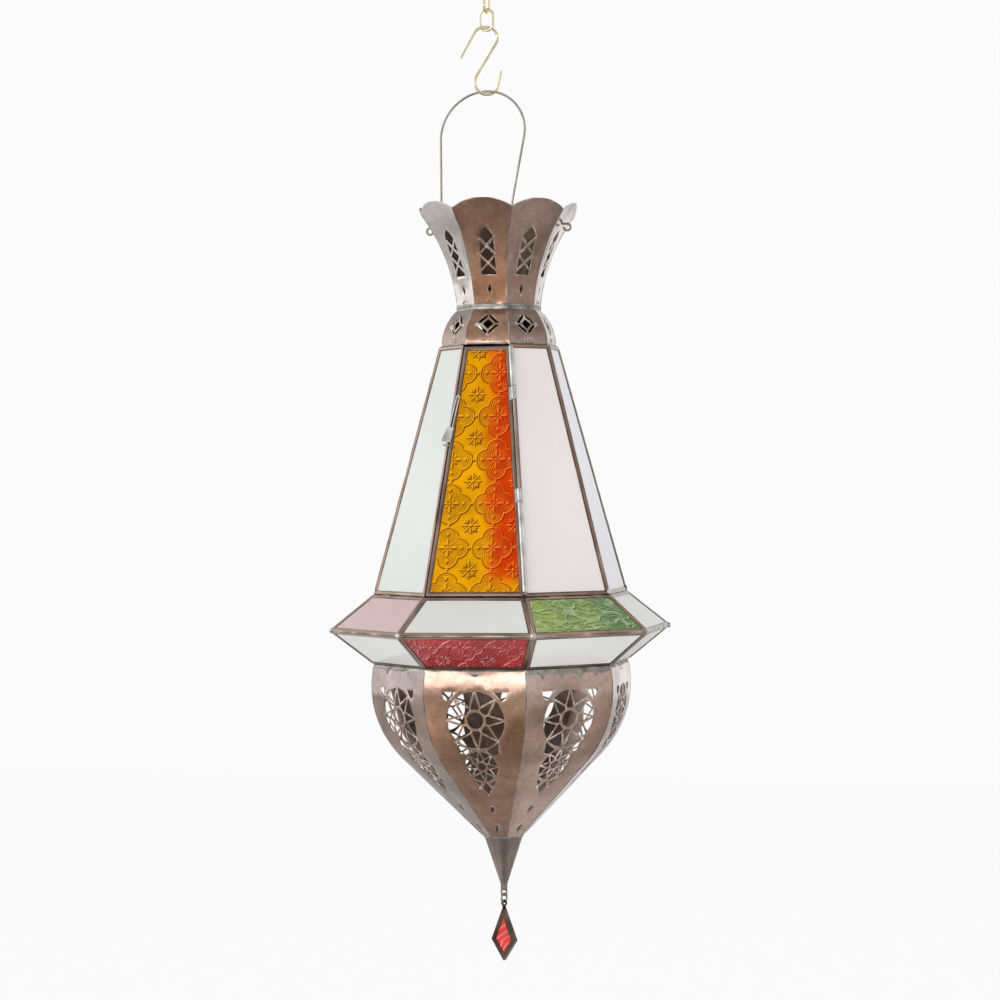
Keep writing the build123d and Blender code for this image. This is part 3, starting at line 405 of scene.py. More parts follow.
# Dark copper channel with a painted glint along the middle of each face, in patches
CAME = metal("came", ((0.05, 0.031, 0.022), (0.105, 0.067, 0.049), (0.22, 0.152, 0.117)), (0.1, 0.22), 40,
             (1, 1, 0.2), coat=0.06, edge=(0.40, 0.285, 0.225), glint_patches=(34, 0.34, 0.66, 0.3))
SOLDER = metal("solder", ((0.40, 0.395, 0.37), (0.58, 0.575, 0.55), (0.78, 0.775, 0.755)), (0.16, 0.32), 60)
SMEAR = metal("solder_smear", ((0.22, 0.22, 0.19), (0.35, 0.35, 0.315), (0.52, 0.52, 0.485)), (0.34, 0.56),
              70, stain=(0.20, 0.15, 0.125))
SEAM = metal("seam", ((0.17, 0.135, 0.115), (0.31, 0.26, 0.23), (0.56, 0.50, 0.46)), (0.14, 0.3), 90)
CORNER = metal("corner_seam", ((0.13, 0.09, 0.068), (0.28, 0.205, 0.165), (0.56, 0.46, 0.395)), (0.1, 0.24),
               50)
TIN = metal("tin", ((0.46, 0.45, 0.43), (0.66, 0.66, 0.64), (0.84, 0.84, 0.82)), (0.14, 0.32), 110)
BRASS = metal("brass", ((0.74, 0.64, 0.42), (0.87, 0.79, 0.57), (0.95, 0.90, 0.73)), (0.08, 0.2), 80)
IRON = metal("iron", ((0.27, 0.24, 0.205), (0.35, 0.32, 0.28), (0.47, 0.435, 0.39)), (0.18, 0.34), 30)

OPAL_PLAIN = opal_glass("opal", (0.76, 0.77, 0.74), (0.81, 0.81, 0.78))
OPAL_UPPER = opal_glass("opal_upper", (0.69, 0.70, 0.675), (0.74, 0.745, 0.715))
OPAL_GREEN = opal_glass("opal_greenish", (0.70, 0.735, 0.71), (0.755, 0.775, 0.755))
OPAL_PINK = opal_glass("opal_pinkish", (0.82, 0.765, 0.755), (0.86, 0.82, 0.81))
OPAL_LILAC = opal_glass("opal_lilac", (0.74, 0.74, 0.80), (0.80, 0.80, 0.84))

AMBER = pressed_glass("amber_glass", ((0.80, 0.36, 0.0), (0.68, 0.05, 0.0)),
                      ((0.94, 0.46, 0.006), (0.98, 0.30, 0.02)), ((0.20, 0.045, 0.0), (0.40, 0.014, 0.0)),
                      0.72, 0.06, 0.5)
RED = pressed_glass("red_glass", ((0.32, 0.021, 0.026), (0.49, 0.028, 0.038)),
                    ((0.76, 0.28, 0.28), (0.84, 0.38, 0.37)), ((0.15, 0.008, 0.010), (0.20, 0.010, 0.012)),
                    0.72, 0.5, 0.15)
RUBY = pressed_glass("ruby_glass", ((0.72, 0.035, 0.03), (0.82, 0.06, 0.05)),
                     ((0.92, 0.30, 0.26), (0.96, 0.5, 0.45)), ((0.42, 0.012, 0.012), (0.50, 0.02, 0.02)))
GREEN = pressed_glass("green_glass", ((0.31, 0.42, 0.07), (0.095, 0.21, 0.045)),
                      ((0.60, 0.70, 0.38), (0.54, 0.66, 0.42)), ((0.085, 0.135, 0.02), (0.05, 0.11, 0.025)))
PINK = pressed_glass("pink_glass", ((0.60, 0.415, 0.415), (0.65, 0.47, 0.47)),
                     ((0.66, 0.49, 0.49), (0.70, 0.53, 0.53)), ((0.52, 0.35, 0.35), (0.57, 0.40, 0.40)), 0.94)


# Meshes

def in_scene(name, data):
    """A new object of the scene."""
    made = bpy.data.objects.new(name, data)
    bpy.context.scene.collection.objects.link(made)
    return made


class Builder:
    """Points and faces of one piece, gathered in millimetres about the lantern's neck."""

    def __init__(self):
        self.points, self.faces, self.indices, self.values = [], [], [], {}

    def extend(self, points, faces, indices=None, **values):
        """More points and faces, with the faces' material numbers and the points' attributes."""
        start = len(self.points)
        self.points.extend(points)
        self.faces.extend([tuple(start + i for i in face) for face in faces])
        self.indices.extend(indices or [0] * len(faces))
        for key, numbers in values.items():
            self.values.setdefault(key, []).extend(numbers)

    def finish(self, name, materials, body, slot, *stands_for, sharp=40):
        """The piece itself, shaded smooth, riding on its body."""
        mesh = bpy.data.meshes.new(name)
        placed = np.array(self.points, float) * MM + np.array(AXIS)
        mesh.from_pydata([tuple(p) for p in placed], [], self.faces)
        mesh.polygons.foreach_set("material_index", self.indices)
        for key, numbers in self.values.items():
            values = mesh.attributes.new(key, "FLOAT", "POINT")
            values.data.foreach_set("value", np.array(numbers, np.float32))
        mesh.validate()
        mesh.shade_smooth()
        mesh.set_sharp_from_angle(angle=radians(sharp))
        for material in materials:
            mesh.materials.append(material)
        piece = in_scene(name, mesh)
        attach(piece, body)
        if stands_for:
            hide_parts(*stands_for)


class CadMesh:
    """A CAD node's triangles in millimetres about the lantern's neck, with doubles merged."""

    def __init__(self, node):
        mesh = nodes[node].data
        mesh.calc_loop_triangles()
        raw = np.empty(len(mesh.vertices) * 3, np.float32)
        mesh.vertices.foreach_get("co", raw)
        local = (raw.reshape(-1, 3).astype(float) - np.array(AXIS)) / MM
        _, first, inverse = np.unique(np.round(local * 1000).astype(np.int64), axis=0,
                                      return_index=True, return_inverse=True)
        self.points = local[first]
        corners = np.empty(len(mesh.loop_triangles) * 3, np.int32)
        mesh.loop_triangles.foreach_get("vertices", corners)
        self.triangles = inverse.reshape(-1)[corners].reshape(-1, 3)
        a, b, c = (self.points[self.triangles[:, i]] for i in range(3))
        cross = np.cross(b - a, c - a)
        area = np.linalg.norm(cross, axis=1)
        self.normals = cross / np.maximum(area, 1e-12)[:, None]
        self.areas = area / 2
        middle = (a + b + c) / 3
        turn = np.degrees(np.arctan2(middle[:, 1], middle[:, 0]))
        self.sides = np.round((turn + 90) / (360 / SIDES)).astype(int) % SIDES

    def facing(self, direction, least):
        """Which triangles face a direction."""
        return (self.normals @ direction > least) & (self.areas > 1e-9)


def boundary(triangles):
    """The edges that only one of the triangles has, in its own order."""
    edges = {}
    for a, b, c in triangles:
        for pair in ((a, b), (b, c), (c, a)):
            edges.setdefault(tuple(sorted(pair)), []).append(pair)
    return [pairs[0] for pairs in edges.values() if len(pairs) == 1]


def bands(rings, count, start=0, closed=False):
    """Quads between neighbouring rings of points, and from the last ring to the first if closed."""
    quads = []
    for r in range(rings if closed else rings - 1):
        here, there = start + r * count, start + (r + 1) % rings * count
        for i in range(count):
            after = (i + 1) % count
            quads.append((here + i, there + i, there + after, here + after))
    return quads


def turned(quad):
    """The quad facing the other way, from the same corner."""
    return quad[0], quad[3], quad[2], quad[1]


def grid(rows, columns):
    """Quads between points numbered row by row, and the points round the border, from the first one."""
    quads = [(j * columns + i, j * columns + i + 1, (j + 1) * columns + i + 1, (j + 1) * columns + i)
             for j in range(rows - 1) for i in range(columns - 1)]
    numbers = np.arange(rows * columns).reshape(rows, columns)
    border = [*numbers[0], *numbers[1:, -1], *numbers[-1, -2::-1], *numbers[-2:0:-1, 0]]
    return quads, [int(n) for n in border]


def two_skins(faces, points, direction):
    """Triangles turned to a direction, the same ones on a back skin, the rims between the two, and the
    triangles' border. The back skin's points are numbered on from the front's."""
    a, b, c = (points[i] for i in faces[0])
    if np.dot(np.cross(b - a, c - a), direction) < 0:
        faces = faces[:, ::-1]
    count, border = len(points), boundary(faces)
    back = [tuple(count + i for i in f[::-1]) for f in faces]
    return [tuple(f) for f in faces], back, [(b, a, a + count, b + count) for a, b in border], border


def inside(points, starts, ends):
    """Which flat points lie inside the outline made of edges, by crossings."""
    x, y = points[:, :1], points[:, 1:]
    (start_x, start_y), (end_x, end_y) = starts.T, ends.T
    rise = np.where(np.abs(end_y - start_y) < 1e-12, 1, end_y - start_y)
    where = start_x + (y - start_y) * (end_x - start_x) / rise
    crossed = (y >= np.minimum(start_y, end_y)) & (y < np.maximum(start_y, end_y)) & (where > x)
    return crossed.sum(axis=1) % 2 == 1


def fitted_profile(heights, apothems, bend):
    """The sheet's outer line as a function of height, giving apothem and slope, straight below a bend."""
    above = heights >= bend
    centre = heights.mean()
    fit = np.polynomial.Polynomial.fit
    curve = fit(heights[above] - centre, apothems[above], PROFILE_DEGREE)
    straight = curve if above.all() else fit(heights[~above] - centre, apothems[~above], 1)

    def profile(height):
        offset, lower = height - centre, height < bend
        return (np.where(lower, straight(offset), curve(offset)),
                np.where(lower, straight.deriv()(offset), curve.deriv()(offset)))

    return profile


def sheet_outline(cad, side):
    """The outline of a sheet's outer face as flat points of width and height, its edges, and the heights and
    apothems of the face's points."""
    out, across = side_axes(side)
    skin = cad.triangles[(cad.sides == side) & cad.facing(out, SHEET_FACING)]
    used = cad.points[np.unique(skin)]
    flat = np.stack([cad.points @ across, cad.points[:, 2]], axis=1)
    points, edges, numbers = [], [], {}
    for a, b in boundary(skin):
        steps = max(1, int(np.ceil(np.linalg.norm(flat[b] - flat[a]) / OUTLINE_STEP)))
        chain = []
        for i in range(steps + 1):
            key = {0: a, steps: b}.get(i, (a, b, i))
            if key not in numbers:
                numbers[key] = len(points)
                points.append(flat[a] * (1 - i / steps) + flat[b] * (i / steps))
            chain.append(numbers[key])
        edges += zip(chain, chain[1:])
    return np.array(points), edges, (used[:, 2], used @ out)


def edge_distance(points, starts, ends):
    """How far flat points are from the nearest of some edges."""
    run = ends - starts
    offset = points[:, None] - starts
    share = np.clip((offset * run).sum(axis=2) / np.maximum(np.sum(run ** 2, axis=1), 1e-12), 0, 1)
    return np.linalg.norm(offset - share[:, :, None] * run, axis=2).min(axis=1)


def rails(starts, ends):
    """Points a little inside an outline of edges, beside the middle of each edge, apart from one another."""
    run = ends - starts
    left = np.stack([-run[:, 1], run[:, 0]], axis=1) / np.maximum(np.linalg.norm(run, axis=1), 1e-9)[:, None]
    beside = (starts + ends) / 2 + left * EDGE_ROUND
    beside = beside[inside(beside, starts, ends)]
    kept = []
    for point in beside[edge_distance(beside, starts, ends) > 0.75 * EDGE_ROUND]:
        if not kept or np.min(np.sum((np.array(kept) - point) ** 2, axis=1)) > (0.8 * EDGE_ROUND) ** 2:
            kept.append(point)
    return np.array(kept).reshape(-1, 2)


def edge_ends(points, edges):
    """The first and the last points of some edges."""
    return (points[[edge[i] for edge in edges]] for i in range(2))


def triangulated(points, edges, step):
    """Even triangles inside an outline of edges, with a narrow border along it."""
    starts, ends = edge_ends(points, edges)
    low, high = points.min(axis=0), points.max(axis=0)
    rows = np.arange(low[1], high[1], step * 0.87)
    spots = np.array([(x + (step / 2 if i % 2 else 0), y) for i, y in enumerate(rows)
                      for x in np.arange(low[0], high[0], step)])
    spots = spots[inside(spots, starts, ends)]
    fixed = np.concatenate([points, rails(starts, ends)])
    nearest = np.array([np.min(np.sum((fixed - spot) ** 2, axis=1)) for spot in spots])
    every = np.concatenate([fixed, spots[nearest > (step * 0.55) ** 2]])
    made = delaunay_2d_cdt([Vector(p) for p in every], edges, [], 0, 1e-5)
    flat = np.array([tuple(p) for p in made[0]])
    faces = np.array([f for f in made[2] if len(f) == 3])
    return flat, faces[inside(flat[faces].mean(axis=1), starts, ends)]


def tilted(radial, slope):
    """Outward directions square to a line of a slope."""
    return (radial - slope[:, None] * UP) / np.sqrt(1 + slope ** 2)[:, None]


class Sheet:
    """One gore or petal of worked sheet: the CAD's outline and bent profile, with shallow hand dents."""

    def __init__(self, cad, side, seed, bulge, bend):
        self.side, self.seed, self.bulge = side, seed, bulge
        self.out, self.across = side_axes(side)
        self.points, self.edges, samples = sheet_outline(cad, side)
        self.profile = fitted_profile(*samples, bend)
        self.low, self.high = self.points[:, 1].min(), self.points[:, 1].max()

    def dents(self, width, height, apothem):
        """How far hand work has pushed the sheet out or in, none at its edges."""
        work = DENT_DEPTH * wavy(width, height, DENT_SIZE, self.seed + self.side * 3.7)
        work += RIPPLE_DEPTH * wavy(width, height, RIPPLE_SIZE, self.seed + 50 + self.side * 2.3)
        half = apothem * HALF_SIDE_SHARE
        to_end = np.minimum(height - self.low, self.high - height)
        for room in (half - np.abs(width), to_end):
            work *= np.clip(room / STILL_EDGE, 0, 1)
        return work + self.bulge * (1 - np.clip(width / half, -1, 1) ** 4) * smooth(0, ROUND_END, to_end)

    def skin(self, width, height, lift=0.0):
        """Points on the outer face, or lifted off it along its normal."""
        apothem, slope = self.profile(height)
        lean = np.sqrt(1 + slope ** 2)
        pushed = apothem + (self.dents(width, height, apothem) + lift) / lean
        raised = np.clip(height - lift * slope / lean, self.low, self.high)
        narrowing = np.where(np.asarray(lift) < 0, pushed / apothem, 1)
        return pushed[:, None] * self.out + (width * narrowing)[:, None] * self.across + raised[:, None] * UP

    def normals(self, height):
        """Outward directions at some heights."""
        return tilted(self.out, self.profile(height)[1])

    def corner(self, heights):
        """Points and outward directions along the edge shared with the next side."""
        apothem, slope = self.profile(heights)
        turn = radians(-90 + 360 / SIDES * (self.side + 0.5))
        radial = np.array((cos(turn), sin(turn), 0))
        points = (apothem / cos(pi / SIDES))[:, None] * radial + heights[:, None] * UP
        return points, tilted(radial, slope)

    def add_to(self, builder, outside, inner_side, cut):
        """Its outer skin, inner skin and cut edges, by the builder's material numbers."""
        flat, faces = triangulated(self.points, self.edges, SHEET_STEP)
        width, height = flat.T
        count = len(flat)
        inner = self.skin(width, height, np.full(count, -SHEET))
        front, back, rims, border = two_skins(faces, inner, self.out)
        free = np.abs(np.abs(width) - self.profile(height)[0] * HALF_SIDE_SHARE) > EDGE_TOUCH
        free &= (height > self.low + EDGE_TOUCH) & (height < self.high - EDGE_TOUCH)
        # Free cut-edge points: lowered a little to round the edge, and given the painted edge glint
        edge = np.zeros(count)
        edge[[i for pair in border for i in pair]] = 1
        edge *= free
        outer = self.skin(width, height, -EDGE_DROP * edge)
        indices = [outside] * len(front) + [inner_side] * len(back) + [cut] * len(rims)
        builder.extend([*outer, *inner], front + back + rims, indices, edge=[*edge, *[0.0] * count])


sheets = {}


def worked_sheet(node, kind, sides, seed, finishes, inner, bend=-np.inf):
    """One node's sheets, each side in its own finish, with an inner finish and bright cut edges."""
    cad = CadMesh(node)
    builder = Builder()
    materials = [inner, CUT]
    for side in sides:
        sheet = sheets[kind, side] = Sheet(cad, side, seed, BULGE[kind], bend)
        if finishes[side] not in materials:
            materials.append(finishes[side])
        sheet.add_to(builder, materials.index(finishes[side]), 0, 1)
    builder.finish(node + "_sheet", materials, "lantern", "copper_sheet", node)


class Panel:
    """One flat framed side or pane of the CAD: its plane and the corners of its outer and inner faces."""

    def __init__(self, cad, side):
        out, self.across = side_axes(side)
        points = cad.points[np.unique(cad.triangles[cad.sides == side])]
        front = np.flatnonzero((cad.sides == side) & cad.facing(out, PANEL_FACING))
        levels = np.einsum("ij,ij->i", cad.points[cad.triangles[front, 0]], cad.normals[front])
        outermost = front[(points @ cad.normals[front].T).max(axis=0) - levels < SAME_LEVEL]
        self.normal = cad.normals[outermost[np.argmax(cad.areas[outermost])]]
        self.up = np.cross(self.normal, self.across)
        depth = points @ self.normal
        self.level, self.depth = depth.max(), depth.max() - depth.min()
        x, y = points @ self.across, points @ self.up
        on_face = depth > depth.max() - SAME_PLANE
        self.front = self.corners(x[on_face], y[on_face])
        on_back = depth < depth.min() + SAME_PLANE
        self.back = self.corners(x[on_back], y[on_back])
        outline = {tuple(np.round(c, 2)) for c in self.front}
        rest = np.array([p for p in zip(x[on_face], y[on_face]) if tuple(np.round(p, 2)) not in outline])
        self.window = self.corners(*rest.T) if len(rest) >= 4 else None

    @staticmethod
    def corners(x, y):
        """Foot left, foot right, top right and top left of some points."""
        foot, top = y < y.min() + SAME_ROW, y > y.max() - SAME_ROW
        return np.array([(x[foot].min(), y[foot][0]), (x[foot].max(), y[foot][0]),
                         (x[top].max(), y[top][0]), (x[top].min(), y[top][0])])

    def place(self, x, y, below):
        """A point at flat coordinates on the panel, a depth below its outer face."""
        return self.across * x + self.up * y + self.normal * (self.level - below)

    def corner(self, number):
        """A corner of the outer face."""
        return self.place(*self.front[number], 0)


def came_ring(builder, panel, glass_front, glass_back, seed):
    """A channel frame with a rounded face and a groove for its glass."""
    total = panel.depth
    profile = [*CAME_FACE_POINTS, (1.0, glass_front), (CAME_GROOVE_SHARE, glass_front),
               (CAME_GROOVE_SHARE, glass_back), (1.0, glass_back),
               *((share, total - rise) for share, rise in CAME_BACK_POINTS)]
    outline, window, back = panel.front, panel.window, panel.back
    lengths = np.linalg.norm(np.roll(outline, -1, axis=0) - outline, axis=1)
    steps = [max(2, int(length / CAME_STEP)) for length in lengths]
    points = []
    for share, below in profile:
        corner = outline + (window - outline) * share + (back - outline) * (below / total) * (1 - share)
        for j in range(4):
            first, last = corner[j], corner[(j + 1) % 4]
            for i in range(steps[j]):
                x, y = first + (last - first) * (i / steps[j])
                place = Vector((x / CAME_WOBBLE_SIZE, y / CAME_WOBBLE_SIZE, seed + share * 2))
                wobble = CAME_WOBBLE * noise.noise(place)
                points.append(panel.place(x, y, below + (abs(wobble) if below < glass_front else 0)))
    count = sum(steps)
    # The painted glint, by how far across the face each ring of points lies
    face_glint = [*CAME_GLINT, *[0] * (len(profile) - len(CAME_GLINT))]
    faces = [turned(quad) for quad in bands(len(profile), count, closed=True)]
    builder.extend(points, faces, edge=[value for value in face_glint for _ in range(count)])


panels = {}


def came_piece(node, kind, pane_nodes, sides, body, seed):
    """The frames of one CAD node, each with the depth of its own glass."""
    cad = CadMesh(node)
    panes = [CadMesh(name) for name in pane_nodes]
    builder = Builder()
    for side in sides:
        panel = panels[kind, side] = Panel(cad, side)
        glass = next(Panel(mesh, side) for mesh in panes if (mesh.sides == side).any())
        sunk = panel.level - glass.level
        came_ring(builder, panel, sunk - CAME_GLASS_GAP, sunk + glass.depth + CAME_GLASS_GAP, seed + side * 5)
    builder.finish(node + "_came", [CAME], body, "copper_sheet", node, sharp=50)


# Solder and small trim

def bead(builder, path, outward, width, height, seed, lump, closed=False, sunk=0):
    """A line of solder along a path: a low oval section, uneven along its length."""
    outward = np.array(outward)
    path = np.array(path) - outward * sunk
    count = len(path)
    ahead = np.roll(path, -1, axis=0) - np.roll(path, 1, axis=0)
    if not closed:
        ahead[0], ahead[-1] = path[1] - path[0], path[-1] - path[-2]
    beside = np.cross(ahead, outward)
    beside /= np.linalg.norm(beside, axis=1)[:, None]
    points = []
    for i, middle in enumerate(path):
        swell = 1 + lump * noise.noise(Vector(middle / SWELL_SIZE) + Vector((seed, 0, 0)))
        if not closed and i in (0, count - 1):
            swell *= 0.5
        drift = 0.25 * lump * width * noise.noise(Vector(middle / DRIFT_SIZE) + Vector((0, seed, 0)))
        for turn in (2 * pi * j / BEAD_SECTION for j in range(BEAD_SECTION)):
            rise = sin(turn) * (height if sin(turn) > 0 else 0.5 * height)
            aside = cos(turn) * width / 2 * swell + drift
            points.append(middle + beside[i] * aside + outward[i] * rise * swell)
    faces = bands(count, BEAD_SECTION, closed=closed)
    if not closed:
        ends = range(BEAD_SECTION)
        faces += [tuple(ends), tuple((count - 1) * BEAD_SECTION + j for j in reversed(ends))]
    builder.extend(points, faces)


def octagon(apothem, height, sides=range(SIDES), step=2.5):
    """Points along the sides of a level octagon, with their outward directions."""
    path, outward = [], []
    half = apothem * HALF_SIDE_SHARE
    count = max(3, int(2 * half / step))
    for side in sides:
        out, across = side_axes(side)
        for share in ((i + 0.5) / count * 2 - 1 for i in range(count)):
            path.append(out * apothem + across * half * share + UP * height)
            bent = out + across * HALF_SIDE_SHARE * share ** 5
            outward.append(bent / np.linalg.norm(bent))
    return path, outward


def patch(builder, sheet, widths, top, foot, thickness):
    """A thin layer over a sheet from a height down to a line, with a thickness by (across, down)."""
    columns = len(widths)
    down = np.linspace(0, 1, PATCH_ROWS)
    width = np.tile(widths, PATCH_ROWS)
    height = np.concatenate([top + (foot - top) * d for d in down])
    lift = np.array([thickness(u, d) for d in down for u in np.linspace(0, 1, columns)])
    count = len(width)
    quads, ring = grid(PATCH_ROWS, columns)
    faces = []
    for quad in quads:
        faces += [turned(quad), tuple(count + n for n in (*quad[1:], quad[0]))]
    faces += [(here, after, count + after, count + here) for here, after in zip(ring, ring[1:] + ring[:1])]
    builder.extend([*sheet.skin(width, height, lift), *sheet.skin(width, height)], faces)


def blob(builder, place, sunk, radius, height, seed):
    """A low uneven dome of solder, facing away from the axis."""
    outward = from_axis(place)
    place = place - outward * sunk
    first = np.cross(outward, (0.3, 0.2, 1.0))
    first /= np.linalg.norm(first)
    second = np.cross(outward, first)
    points = [place + outward * height]
    for share in (0.45, 0.8, 1.0):
        rise = height * (1 - share ** 2.4) - (0.35 if share == 1.0 else 0)
        for turn in (2 * pi * j / BLOB_SECTION for j in range(BLOB_SECTION)):
            swell = 1 + 0.3 * noise.noise(Vector((2 * cos(turn), 2 * sin(turn), seed)))
            aside = (first * cos(turn) + second * sin(turn)) * radius * share * swell
            points.append(place + aside + outward * rise)
    faces = [(0, 1 + j, 1 + (j + 1) % BLOB_SECTION) for j in range(BLOB_SECTION)]
    faces += bands(3, BLOB_SECTION, 1)
    faces.append(tuple(1 + 2 * BLOB_SECTION + j for j in reversed(range(BLOB_SECTION))))
    builder.extend(points, faces)


def trim_piece(name, builder, material, slot="solder"):
    """A piece of trim on the lantern, kept inside the CAD's box."""
    low, high = ((np.array(corner) - np.array(AXIS)) / MM for corner in (cad_low, cad_high))
    builder.points = list(np.clip(np.array(builder.points), low + 0.01, high - 0.01))
    builder.finish(name, [material], "lantern", slot, sharp=55)


def sheet_seams():
    """Solder up the edges between petals, shoulder gores and bowl gores."""
    for kind, (width, height) in SHEET_SEAMS.items():
        builder = Builder()
        for side in range(SIDES):
            sheet = sheets[kind, side]
            half = sheet.profile(sheet.points[:, 1])[0] * HALF_SIDE_SHARE
            on_edge = sheet.points[sheet.points[:, 0] > half - 0.2, 1]
            low, high = on_edge.min() + SEAM_END, on_edge.max() - SEAM_END
            line = sheet.corner(np.linspace(low, high, int((high - low) / SEAM_STEP)))
            bead(builder, *line, width, height, side * 3.1, SEAM_LUMP, sunk=SEAM_SUNK)
        trim_piece(f"solder_{kind}_seams", builder, SEAM)


def corner_path(panel, step=2.0):
    """Points and outward directions up the right edge of a flat panel."""
    start, end = panel.corner(1), panel.corner(2)
    count = max(3, int(np.linalg.norm(end - start) / step))
    path = np.array([start + (end - start) * i / (count - 1) for i in range(count)])
    outward = from_axis(path) + UP * panel.normal[2]
    return path, outward / np.linalg.norm(outward, axis=1)[:, None]


def frame_seams():
    """Solder up the corners of the body and aprons, but not beside the door."""
    builder = Builder()
    for side in range(1, SIDES - 1):
        line = corner_path(panels["body", side])
        bead(builder, *line, *BODY_SEAM, side * 2.3, SEAM_LUMP, sunk=BODY_SEAM_SUNK)
    trim_piece("solder_body_seams", builder, CORNER)
    builder = Builder()
    for kind in ("upper", "lower"):
        for side in range(SIDES):
            line = corner_path(panels[kind, side])
            bead(builder, *line, *APRON_SEAM, side * 2.9 + 40, SEAM_LUMP, sunk=APRON_SEAM_SUNK)
    trim_piece("solder_apron_seams", builder, CORNER)


def ring_seams():
    """Solder round the level joints: neck, shoulder foot, body foot, waist, bowl top and bowl foot."""
    neck = (neck_high.x - neck_low.x) / 2 / MM
    shoulder, bowl = sheets["shoulder", 0], sheets["bowl", 0]
    # Each ring's apothem and height, its width and rise, its seed and how lumpy it is
    rings = ((neck - 0.3, 1.7, 2.4, 0.75, 6.7, 0.75), (neck - 0.3, -1.8, 2.2, 0.75, 3.2, 0.75),
             (shoulder.profile(shoulder.low)[0] - 0.2, shoulder.low + 0.5, 1.6, 0.5, 12, 0.6),
             (bowl.profile(bowl.high)[0] - 0.3, bowl.high - 0.6, 1.5, 0.5, 15, 0.5),
             (bowl.profile(bowl.low)[0] + 0.1, bowl.low + 0.3, 1.8, 0.6, 18, 0.6))
    builder = Builder()
    for apothem, height, *section in rings:
        bead(builder, *octagon(apothem, height), *section, True)
    trim_piece("solder_rings", builder, SMEAR)
    builder = Builder()
    out = side_axes(2)[0]
    waist, foot = panels["upper", 2].corner(0), panels["body", 2].corner(0)
    bead(builder, *octagon(waist @ out - 0.75, waist[2]), 1.5, 0.55, 21, 0.5, True)
    for side in range(1, SIDES):
        bead(builder, *octagon(foot @ out - 0.1, foot[2] - 0.9, [side]), 1.5, 0.6, 24 + side, 0.6)
    trim_piece("solder_waist", builder, CORNER)


def corner_blobs():
    """Drops of solder where the frames meet at the body's foot and top and at the waist."""
    builder = Builder()
    for side in range(1, SIDES - 1):
        for corner, lift in ((1, BODY_DROP_FROM_CORNER), (2, -BODY_DROP_FROM_CORNER)):
            blob(builder, panels["body", side].corner(corner) + UP * lift, *BODY_DROP, side * 1.7 + corner)
    for side in range(SIDES):
        blob(builder, panels["upper", side].corner(1), *WAIST_DROP, side * 2.1 + 60)
    trim_piece("solder_drops", builder, SOLDER)


def run_thickness(across, down):
    """A run of solder: thickest near its foot, thin at its sides."""
    swell = min(1, 4 * (1 - down)) ** 0.5 * (0.35 + 0.65 * down)
    return 0.03 + 0.32 * swell * min(1, 12 * across, 12 * (1 - across))


def bowl_runs():
    """Solder smeared down from the bowl's top edge, with a scalloped foot."""
    builder = Builder()
    for side, (least, spread, drips) in enumerate(BOWL_RUNS):
        sheet = sheets["bowl", side]
        half = sheet.profile(sheet.high)[0] * HALF_SIDE_SHARE - 1.2
        widths = np.linspace(-half, half, 72)
        waves = np.array([noise.noise(Vector((w / 6, side * 4.1, 2.0))) for w in widths])
        reach = least + spread * (0.5 + waves)
        for n in range(drips):
            at = half * (-0.85 + 1.7 * (n + 0.5) / drips) + 3 * noise.noise(Vector((n * 1.7, side, 9.0)))
            reach += DRIP_LENGTH * ridge(widths - at, DRIP_WIDTH)
        patch(builder, sheet, widths, sheet.high - 0.1, sheet.high - np.maximum(reach, 0.8), run_thickness)
    trim_piece("solder_bowl_runs", builder, SMEAR)


def circle_on(sheet, width, height, radius, first=0.0, last=2 * pi, count=20):
    """A ring or arc of points drawn on a sheet, with outward directions."""
    turns = np.linspace(first, last, count, endpoint=last - first < 6)
    heights = height + radius * np.sin(turns)
    return sheet.skin(width + radius * np.cos(turns), heights), sheet.normals(heights)


def tab_thickness(across, down):
    """A folded tab: lifted towards its foot, less at its sides."""
    return 0.2 + 0.6 * down * down * (1 if 0 < across < 1 else 0.4)


def small_marks():
    """Ringed dots under the shoulder gems, half rings at the petal feet and folded tabs on the bowl's top."""
    builder = Builder()
    for side in range(SIDES):
        shoulder, crown = sheets["shoulder", side], sheets["crown", side]
        for width in (-DOT_ASIDE, DOT_ASIDE):
            dot = circle_on(shoulder, width, shoulder.low + DOT_ABOVE_FOOT, DOT_RADIUS)
            bead(builder, *dot, 0.6, 0.4, side, 0.1, True)
        arc = circle_on(crown, 0.0, crown.low + ARC_ABOVE_FOOT, ARC_RADIUS, radians(15), radians(165), 14)
        bead(builder, *arc, 0.9, 0.6, side + 20, 0.4)
    trim_piece("punched_marks", builder, CUT, "copper_sheet")
    builder = Builder()
    widths = np.linspace(-TAB_HALF, TAB_HALF, 12)
    for side in range(0, SIDES, 2):
        bowl = sheets["bowl", side]
        foot = bowl.high - TAB_FOOT_DROP - 0.5 * np.cos(widths)
        patch(builder, bowl, widths, bowl.high - TAB_TOP_DROP, foot, tab_thickness)
    trim_piece("bowl_tabs", builder, TIN, "tin")


# Pressed glass

def leaf(reach, sideways, first, last, width):
    """A pointed leaf from first to last along its own line: 1 on its spine and 0 outside."""
    share = np.clip((reach - first) / (last - first), 0, 1)
    half = width * np.sin(pi * share) + 1e-6
    return np.clip(1 - (np.abs(sideways) / half) ** 2, 0, 1) * ((reach > first) & (reach < last))


def dome(x, y, radius):
    return np.sqrt(np.clip(1 - (x * x + y * y) / radius ** 2, 0, 1))


